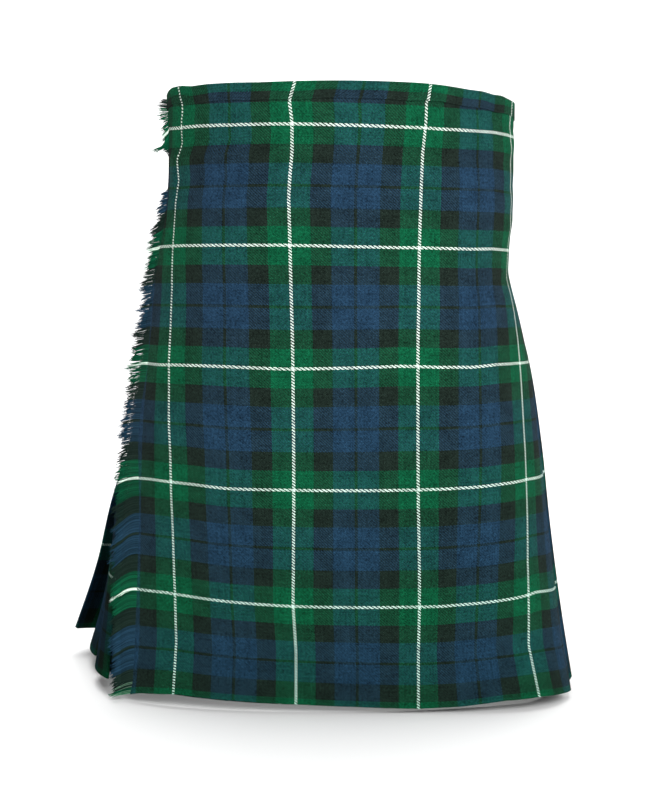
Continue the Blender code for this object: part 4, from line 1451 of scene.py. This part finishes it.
def tartan(name, painted_shade_from=None):
    """A two by two twill of dyed wool threads. The thicker white ones are laid in longer strokes. Cloth
    further across than the given place has painted shade: it is darker, as the last pleats lie in the over
    apron's shadow, and it reflects less."""
    settings = bpy.context.scene.kilt
    finish = Finish(name)
    across, down, uv = finish.place_on_cloth()
    tu = across / settings.warp_pitch + FIRST_THREAD
    tv = down / settings.weft_pitch + FIRST_THREAD
    warp, weft = tu.maths("FLOOR"), tv.maths("FLOOR")
    white_warp, white_weft = is_white(warp), is_white(weft)

    # Which thread shows, and in which colour.
    on_top = (warp - weft) % TWILL < TWILL / 2
    lean = LEAN_UP - (across.maths("ABSOLUTE") < LEAN_LESS_TO) * LEAN_LESS
    upright_stroke = ((down - across * lean) / STROKE_UP) % 1.0 < STROKE_UP_SHARE
    level_stroke = ((across - down * LEAN_ACROSS) / STROKE_ACROSS) % 1.0 < STROKE_ACROSS_SHARE
    warp_colour, weft_colour = yarn(finish, warp), yarn(finish, weft)
    share = on_top * ON_TOP + (1.0 - ON_TOP) / 2
    share = share * (1.0 - white_warp) + (upright_stroke * STROKE_SHOWS + 0.05) * white_warp
    share = share * (1.0 - white_weft) + (1.0 - level_stroke * STROKE_SHOWS) * white_weft
    share = share.at_least(white_warp * white_weft)
    colour = finish.mix(share, weft_colour, warp_colour)
    pale = white_warp.at_least(white_weft)
    gap = (1.0 - upright_stroke) * white_warp * (1.0 - white_weft)
    gap = gap + (1.0 - level_stroke) * white_weft * (1.0 - white_warp)

    # How high the cloth stands: round threads, each bowed where it passes over the others.
    round_warp = 1.0 - ((tu - warp) * 2.0 - 1.0) ** 2.0
    round_weft = 1.0 - ((tv - weft) * 2.0 - 1.0) ** 2.0
    float_warp = 1.0 - ((warp - tv) % TWILL - 1.0) ** 2.0 * BOW
    float_weft = 1.0 - ((tu - weft) % TWILL - 3.0) ** 2.0 * BOW
    height = round_weft * float_weft * (1.0 - on_top) + round_warp * float_warp * on_top
    height = height.at_least(0.0) * (1.0 - pale) + pale * 0.9

    # How light it is: each thread's own dye, slubs and clouds, with painted shade where the threads round off
    # and dip under one another, and on the last pleats.
    warp_dye = finish.chance(warp)
    weft_dye = finish.chance(weft + WEFT_SEED)
    slubs = finish.noise(uv, 420.0, 3.0, 0.75)
    cloudy = finish.noise(uv, 70.0, 3.0)
    wide = finish.noise(uv, 9.0, 2.0)
    shade = (
        0.66
        + pale * 0.12
        - gap * 0.45
        # Painted shade in the hollows between threads and where they dip under each other.
        + height * 0.26
        + (warp_dye - 0.5) * on_top * 0.26
        + (weft_dye - 0.5) * (1.0 - on_top) * 0.26
        + (slubs - 0.5) * 2.2
        + (cloudy - 0.5) * 0.7
        + (wide - 0.5) * 0.25
    )
    # Painted shade: the last pleats are darker, as if in the over apron's shadow.
    if painted_shade_from is not None:
        painted_shade = ((across - painted_shade_from) / PAINTED_SHADE_REACH).at_least(0.0).at_most(1.0)
        shade = shade * (1.0 - painted_shade * PAINTED_SHADE_DARKER)
    # Painted shade: the cloth is darker and tealer towards the hem, where less light reaches.
    hem_shade_share = ((down - HEM_SHADE_FROM) / HEM_SHADE_OVER).at_least(0.0).at_most(1.0)
    dyed = finish.mix(hem_shade_share, colour, HEM_SHADE, "MULTIPLY")
    shaded = finish.mix(1.0, dyed, finish.grey(shade), "MULTIPLY")
    fuzz = finish.noise(uv, 2600.0, 3.0, 0.7)
    worn_pale = finish.mix((fuzz - 0.45).at_least(0.0) * shade * 0.04, shaded, WORN_PALE)
    return finish.done(
        Base_Color=worn_pale,
        Roughness=0.86 + fuzz * 0.12,
        Normal=finish.bump(height + fuzz * 0.5, 0.00022, 0.7),
        IOR=1.45 if painted_shade_from is None else 1.05,
        **WOOL_SHEEN,
    )


def loose_wool():
    """The level threads alone, combed side by side, some painted lighter as a painted highlight, as if they
    stood up in the light.
    """
    settings = bpy.context.scene.kilt
    finish = Finish("wool_fringe")
    along, down, uv = finish.place_on_cloth()
    weft = (down / settings.weft_pitch + FIRST_THREAD).maths("FLOOR")
    colour = yarn(finish, weft)
    pale = is_white(weft)
    dye = finish.chance(weft + WEFT_SEED)
    lift = finish.chance(weft * 0.25 + 0.11)
    twist = (along * 900.0 + down * 400.0).zigzag()
    slubs = finish.noise(uv, 520.0, 3.0)
    # Painted highlight: some threads are made lighter, as if they stood up in the light.
    shade = 0.66 + (dye - 0.5) * 0.55 + twist * 0.35 + (slubs - 0.5) * 0.9 + (lift > 0.70) * 0.50 + pale * 0.3
    shaded = finish.mix(1.0, colour, finish.grey(shade), "MULTIPLY")
    greened = finish.mix((1.0 - pale) * 0.12, shaded, (0.010, 0.080, 0.060, 1.0))
    by_hem = (down > 5.0 * settings.sett_down - 0.0250) * (lift > 0.45)
    greened = finish.mix(by_hem * 0.45, greened, (0.26, 0.50, 0.33, 1.0))
    return finish.done(
        Base_Color=greened,
        Roughness=0.88 + slubs * 0.1,
        Normal=finish.bump(twist + slubs * 0.5, 0.0002, 0.6),
        **WOOL_SHEEN,
    )


def strap_leather(name, holes, buckled_at):
    """Black grained leather, paler where its edges are rubbed. A strap also has its row of holes, bumped in
    and painted near black as painted shade.
    """
    settings = bpy.context.scene.kilt
    finish = Finish(name)
    along, up, uv = finish.place_on_cloth()
    cells = {"Vector": uv, "Scale": 900.0}
    grain = finish.add("ShaderNodeTexVoronoi", {"feature": "DISTANCE_TO_EDGE"}, cells)
    pores = finish.noise(uv, 1500.0, 3.0)
    mottle = finish.noise(uv, 160.0, 3.0)
    edge = (up.maths("ABSOLUTE") - (STRAP_WIDTH / 2 - RUBBED_EDGE)).at_least(0.0) * RUBBED_GAIN
    scuffed = (edge * mottle * 0.9).at_most(1.0)
    black = (*settings.leather, 1.0)
    rubbed = tuple(min(1.0, c * 4 + 0.02) for c in settings.leather) + (1.0,)
    colour = finish.mix(scuffed + (mottle - 0.5).at_least(0.0) * 0.3, black, rubbed)
    height = grain.at_most(0.14) * 4.0 + pores * 0.4
    if holes:
        step = ((along - buckled_at) / HOLE_PITCH + 0.5) % 1.0 - 0.5
        away = ((step * HOLE_PITCH) ** 2.0 + up**2.0) ** 0.5
        punched = away < HOLE_RADIUS
        ring = (away < HOLE_RIM) * 0.5
        past = along > buckled_at + FIRST_HOLE
        # Painted shade: each hole is painted near black, as the shadow inside it.
        colour = finish.mix(punched * past, colour, (0.001, 0.001, 0.001, 1.0))
        height = height - (punched * 6.0 + ring) * past
    return finish.done(
        Base_Color=colour,
        Roughness=0.42 + mottle * 0.2 - scuffed * 0.1,
        Normal=finish.bump(height, 0.00018, 0.8),
        Specular_IOR_Level=0.5,
    )


def waxed_thread():
    """Black linen thread, twisted and waxed."""
    finish = Finish("waxed_thread")
    along, _, _ = finish.place_on_cloth()
    twist = (along * 1800.0).zigzag()
    return finish.done(
        Base_Color=finish.grey(0.02 + twist * 0.05),
        Roughness=0.45 + twist * 0.3,
        Normal=finish.bump(twist, 0.0001),
    )


def buckle_steel():
    """Polished steel with fine scratches and a little tarnish."""
    finish = Finish("buckle_steel")
    place = finish.add("ShaderNodeTexCoord", output=3)
    tarnish = finish.noise(place, 180.0, 4.0)
    scratches = finish.noise(place, 2200.0, 2.0)
    tarnished = (tarnish - 0.45).at_least(0.0) * 1.6
    return finish.done(
        Base_Color=finish.mix(tarnished, (0.62, 0.61, 0.59, 1.0), (0.24, 0.21, 0.18, 1.0)),
        Roughness=0.16 + tarnish * 0.22 + scratches * 0.08,
        Normal=finish.bump(scratches, 0.00003, 0.5),
        Metallic=1.0,
    )


def studio_paper():
    """Plain white paper, a little uneven."""
    finish = Finish("studio_paper")
    place = finish.add("ShaderNodeTexCoord", output=3)
    cloudy = finish.noise(place, 3.0, 2.0)
    return finish.done(Base_Color=finish.grey(0.90 + cloudy * 0.04), Roughness=0.9 + cloudy * 0.05)


# The stage.
FLOOR_Z = -0.6165
PAPER_HALF_WIDTH = 5.0
PAPER_FRONT = -3.0
PAPER_BACK = 2.6
PAPER_BEND = 0.8
PAPER_TOP = 5.0
KILT_MIDDLE = (0.0, -0.05, -0.3)
CAMERA_AT = (-0.009, -1.517, -0.211)
CAMERA_DOWN = 4.0
CAMERA_LENS = 64.53


def make_backdrop():
    """White paper under and behind the kilt, swept up in one curve."""
    bend = arc(PAPER_BACK, PAPER_BEND, PAPER_BEND, -90, 0, 13)
    profile = [(PAPER_FRONT, 0.0), *bend, (PAPER_BACK + PAPER_BEND, PAPER_TOP)]
    points = [(x, y, FLOOR_Z + z) for x in (-PAPER_HALF_WIDTH, PAPER_HALF_WIDTH) for y, z in profile]
    count = len(profile)
    faces = [(i, count + i, count + i + 1, i + 1) for i in range(count - 1)]
    mesh = bpy.data.meshes.new("backdrop")
    mesh.from_pydata(points, [], faces)
    mesh.shade_smooth()
    mesh.materials.append(studio_paper())
    obj = bpy.data.objects.new("backdrop", mesh)
    bpy.context.scene.collection.objects.link(obj)
    return obj


def make_light(name, place, aim, size, power):
    """A square soft box here that faces the aim."""
    lamp = bpy.data.lights.new(name, "AREA")
    lamp.shape = "SQUARE"
    lamp.size = size
    lamp.energy = power
    obj = bpy.data.objects.new(name, lamp)
    bpy.context.scene.collection.objects.link(obj)
    away = np.array(aim) - np.array(place)
    obj.location = place
    obj.rotation_euler = (
        math.atan2(math.hypot(away[0], away[1]), -away[2]),
        0.0,
        math.atan2(away[1], away[0]) - math.pi / 2,
    )
    return obj


def make_stage():
    """Paper, three soft boxes, the room's light and the camera."""
    settings = bpy.context.scene.kilt
    backdrop = make_backdrop()
    key = make_light("key", (0.5, -2.9, 1.5), KILT_MIDDLE, 1.6, 80.0 * settings.key_light)
    fill = make_light("fill", (1.7, -2.4, 0.2), KILT_MIDDLE, 1.6, 20.0 * settings.key_light)
    paper_light = make_light("paper_light", (0.0, 1.4, 2.9), (0.0, 2.5, -0.4), 3.0, 150.0)
    camera = bpy.data.cameras.new("camera")
    camera.sensor_fit = "AUTO"
    camera.sensor_width = 36.0
    camera.lens = CAMERA_LENS
    camera.clip_start = 0.05
    camera_obj = bpy.data.objects.new("camera", camera)
    camera_obj.location = CAMERA_AT
    camera_obj.rotation_euler = (math.radians(90 - CAMERA_DOWN), 0.0, 0.0)
    bpy.context.scene.collection.objects.link(camera_obj)
    bpy.context.scene.camera = camera_obj
    world = bpy.data.worlds.new("studio")
    world.use_nodes = True
    background = world.node_tree.nodes["Background"]
    background.inputs["Color"].default_value = (1.0, 1.0, 1.0, 1.0)
    background.inputs["Strength"].default_value = settings.room_light
    bpy.context.scene.world = world
    bpy.context.scene.view_settings.view_transform = "Standard"


# The add-on.


class KiltSettings(bpy.types.PropertyGroup):
    """The sizes and colours that a maker would change."""

    cloth_wall: bpy.props.FloatProperty(
        name="Cloth thickness", description="Thickness of the wool cloth", default=0.0009, unit="LENGTH"
    )
    warp_pitch: bpy.props.FloatProperty(
        name="Upright pitch", description="Width of one upright thread", default=0.000738, unit="LENGTH"
    )
    weft_pitch: bpy.props.FloatProperty(
        name="Level pitch", description="Height of one level thread", default=0.0006964, unit="LENGTH"
    )
    sett_across: bpy.props.FloatProperty(
        name="Sett across", description="Width of one repeat of the tartan", default=0.1240, unit="LENGTH"
    )
    sett_down: bpy.props.FloatProperty(
        name="Sett down", description="Height of one repeat of the tartan", default=0.1170, unit="LENGTH"
    )
    white: bpy.props.FloatVectorProperty(
        name="White yarn", description="Dye of the narrow lines", subtype="COLOR", default=(0.66, 0.78, 0.69)
    )
    green: bpy.props.FloatVectorProperty(
        name="Green yarn", description="Dye of the green", subtype="COLOR", default=(0.0030, 0.104, 0.043)
    )
    blue: bpy.props.FloatVectorProperty(
        name="Blue yarn", description="Dye of the blue", subtype="COLOR", default=(0.0165, 0.050, 0.098)
    )
    black: bpy.props.FloatVectorProperty(
        name="Black yarn", description="Dye of the black", subtype="COLOR", default=(0.0130, 0.0235, 0.0180)
    )
    leather: bpy.props.FloatVectorProperty(
        name="Leather", description="Colour of the straps", subtype="COLOR", default=(0.012, 0.011, 0.010)
    )
    key_light: bpy.props.FloatProperty(
        name="Soft boxes", description="Strength of the soft boxes", default=1.0
    )
    room_light: bpy.props.FloatProperty(
        name="Room", description="Strength of the light all round", default=0.36
    )


class KILT_OT_over_apron(bpy.types.Operator):
    """Build the over apron's cloth"""

    bl_idname = "kilt.over_apron"
    bl_label = "Over apron"

    def execute(self, context):
        make_over_apron()
        return {"FINISHED"}


class KILT_OT_pleats(bpy.types.Operator):
    """Build the pleated back"""

    bl_idname = "kilt.pleats"
    bl_label = "Pleats"

    def execute(self, context):
        make_pleats()
        return {"FINISHED"}


class KILT_OT_under_apron(bpy.types.Operator):
    """Build the under apron"""

    bl_idname = "kilt.under_apron"
    bl_label = "Under apron"

    def execute(self, context):
        make_under_apron()
        return {"FINISHED"}


class KILT_OT_waistband(bpy.types.Operator):
    """Build the waistband"""

    bl_idname = "kilt.waistband"
    bl_label = "Waistband"

    def execute(self, context):
        make_waistband()
        return {"FINISHED"}


class KILT_OT_fringe(bpy.types.Operator):
    """Build the loose threads of the over apron's free edge"""

    bl_idname = "kilt.fringe"
    bl_label = "Fringe"

    def execute(self, context):
        make_fringe()
        return {"FINISHED"}


class KILT_OT_fastenings(bpy.types.Operator):
    """Build both straps, with their tabs, keepers and buckles"""

    bl_idname = "kilt.fastenings"
    bl_label = "Straps and buckles"

    def execute(self, context):
        for fastening in FASTENINGS:
            make_strap(fastening)
            make_tab(fastening)
            make_keeper(fastening)
            make_buckle(fastening)
        return {"FINISHED"}


class KILT_OT_stage(bpy.types.Operator):
    """Build the backdrop, the lights and the camera"""

    bl_idname = "kilt.stage"
    bl_label = "Stage"

    def execute(self, context):
        make_stage()
        return {"FINISHED"}


OPERATORS = (
    KILT_OT_over_apron,
    KILT_OT_pleats,
    KILT_OT_under_apron,
    KILT_OT_waistband,
    KILT_OT_fringe,
    KILT_OT_fastenings,
    KILT_OT_stage,
)


class KILT_PT_panel(bpy.types.Panel):
    bl_label = "Kilt"
    bl_idname = "KILT_PT_panel"
    bl_space_type = "VIEW_3D"
    bl_region_type = "UI"
    bl_category = "Kilt"

    def draw(self, context):
        for name in KiltSettings.__annotations__:
            self.layout.prop(context.scene.kilt, name)
        for operator in OPERATORS:
            self.layout.operator(operator.bl_idname)


CLASSES = (KiltSettings, *OPERATORS, KILT_PT_panel)


def register():
    for cls in CLASSES:
        bpy.utils.register_class(cls)
    bpy.types.Scene.kilt = bpy.props.PointerProperty(type=KiltSettings)


def unregister():
    del bpy.types.Scene.kilt
    for cls in reversed(CLASSES):
        bpy.utils.unregister_class(cls)


def main():
    register()
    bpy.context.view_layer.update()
    bpy.ops.kilt.over_apron()
    bpy.ops.kilt.pleats()
    bpy.ops.kilt.under_apron()
    bpy.ops.kilt.waistband()
    bpy.ops.kilt.fringe()
    bpy.ops.kilt.fastenings()
    bpy.ops.kilt.stage()


if __name__ == "__main__":
    main()
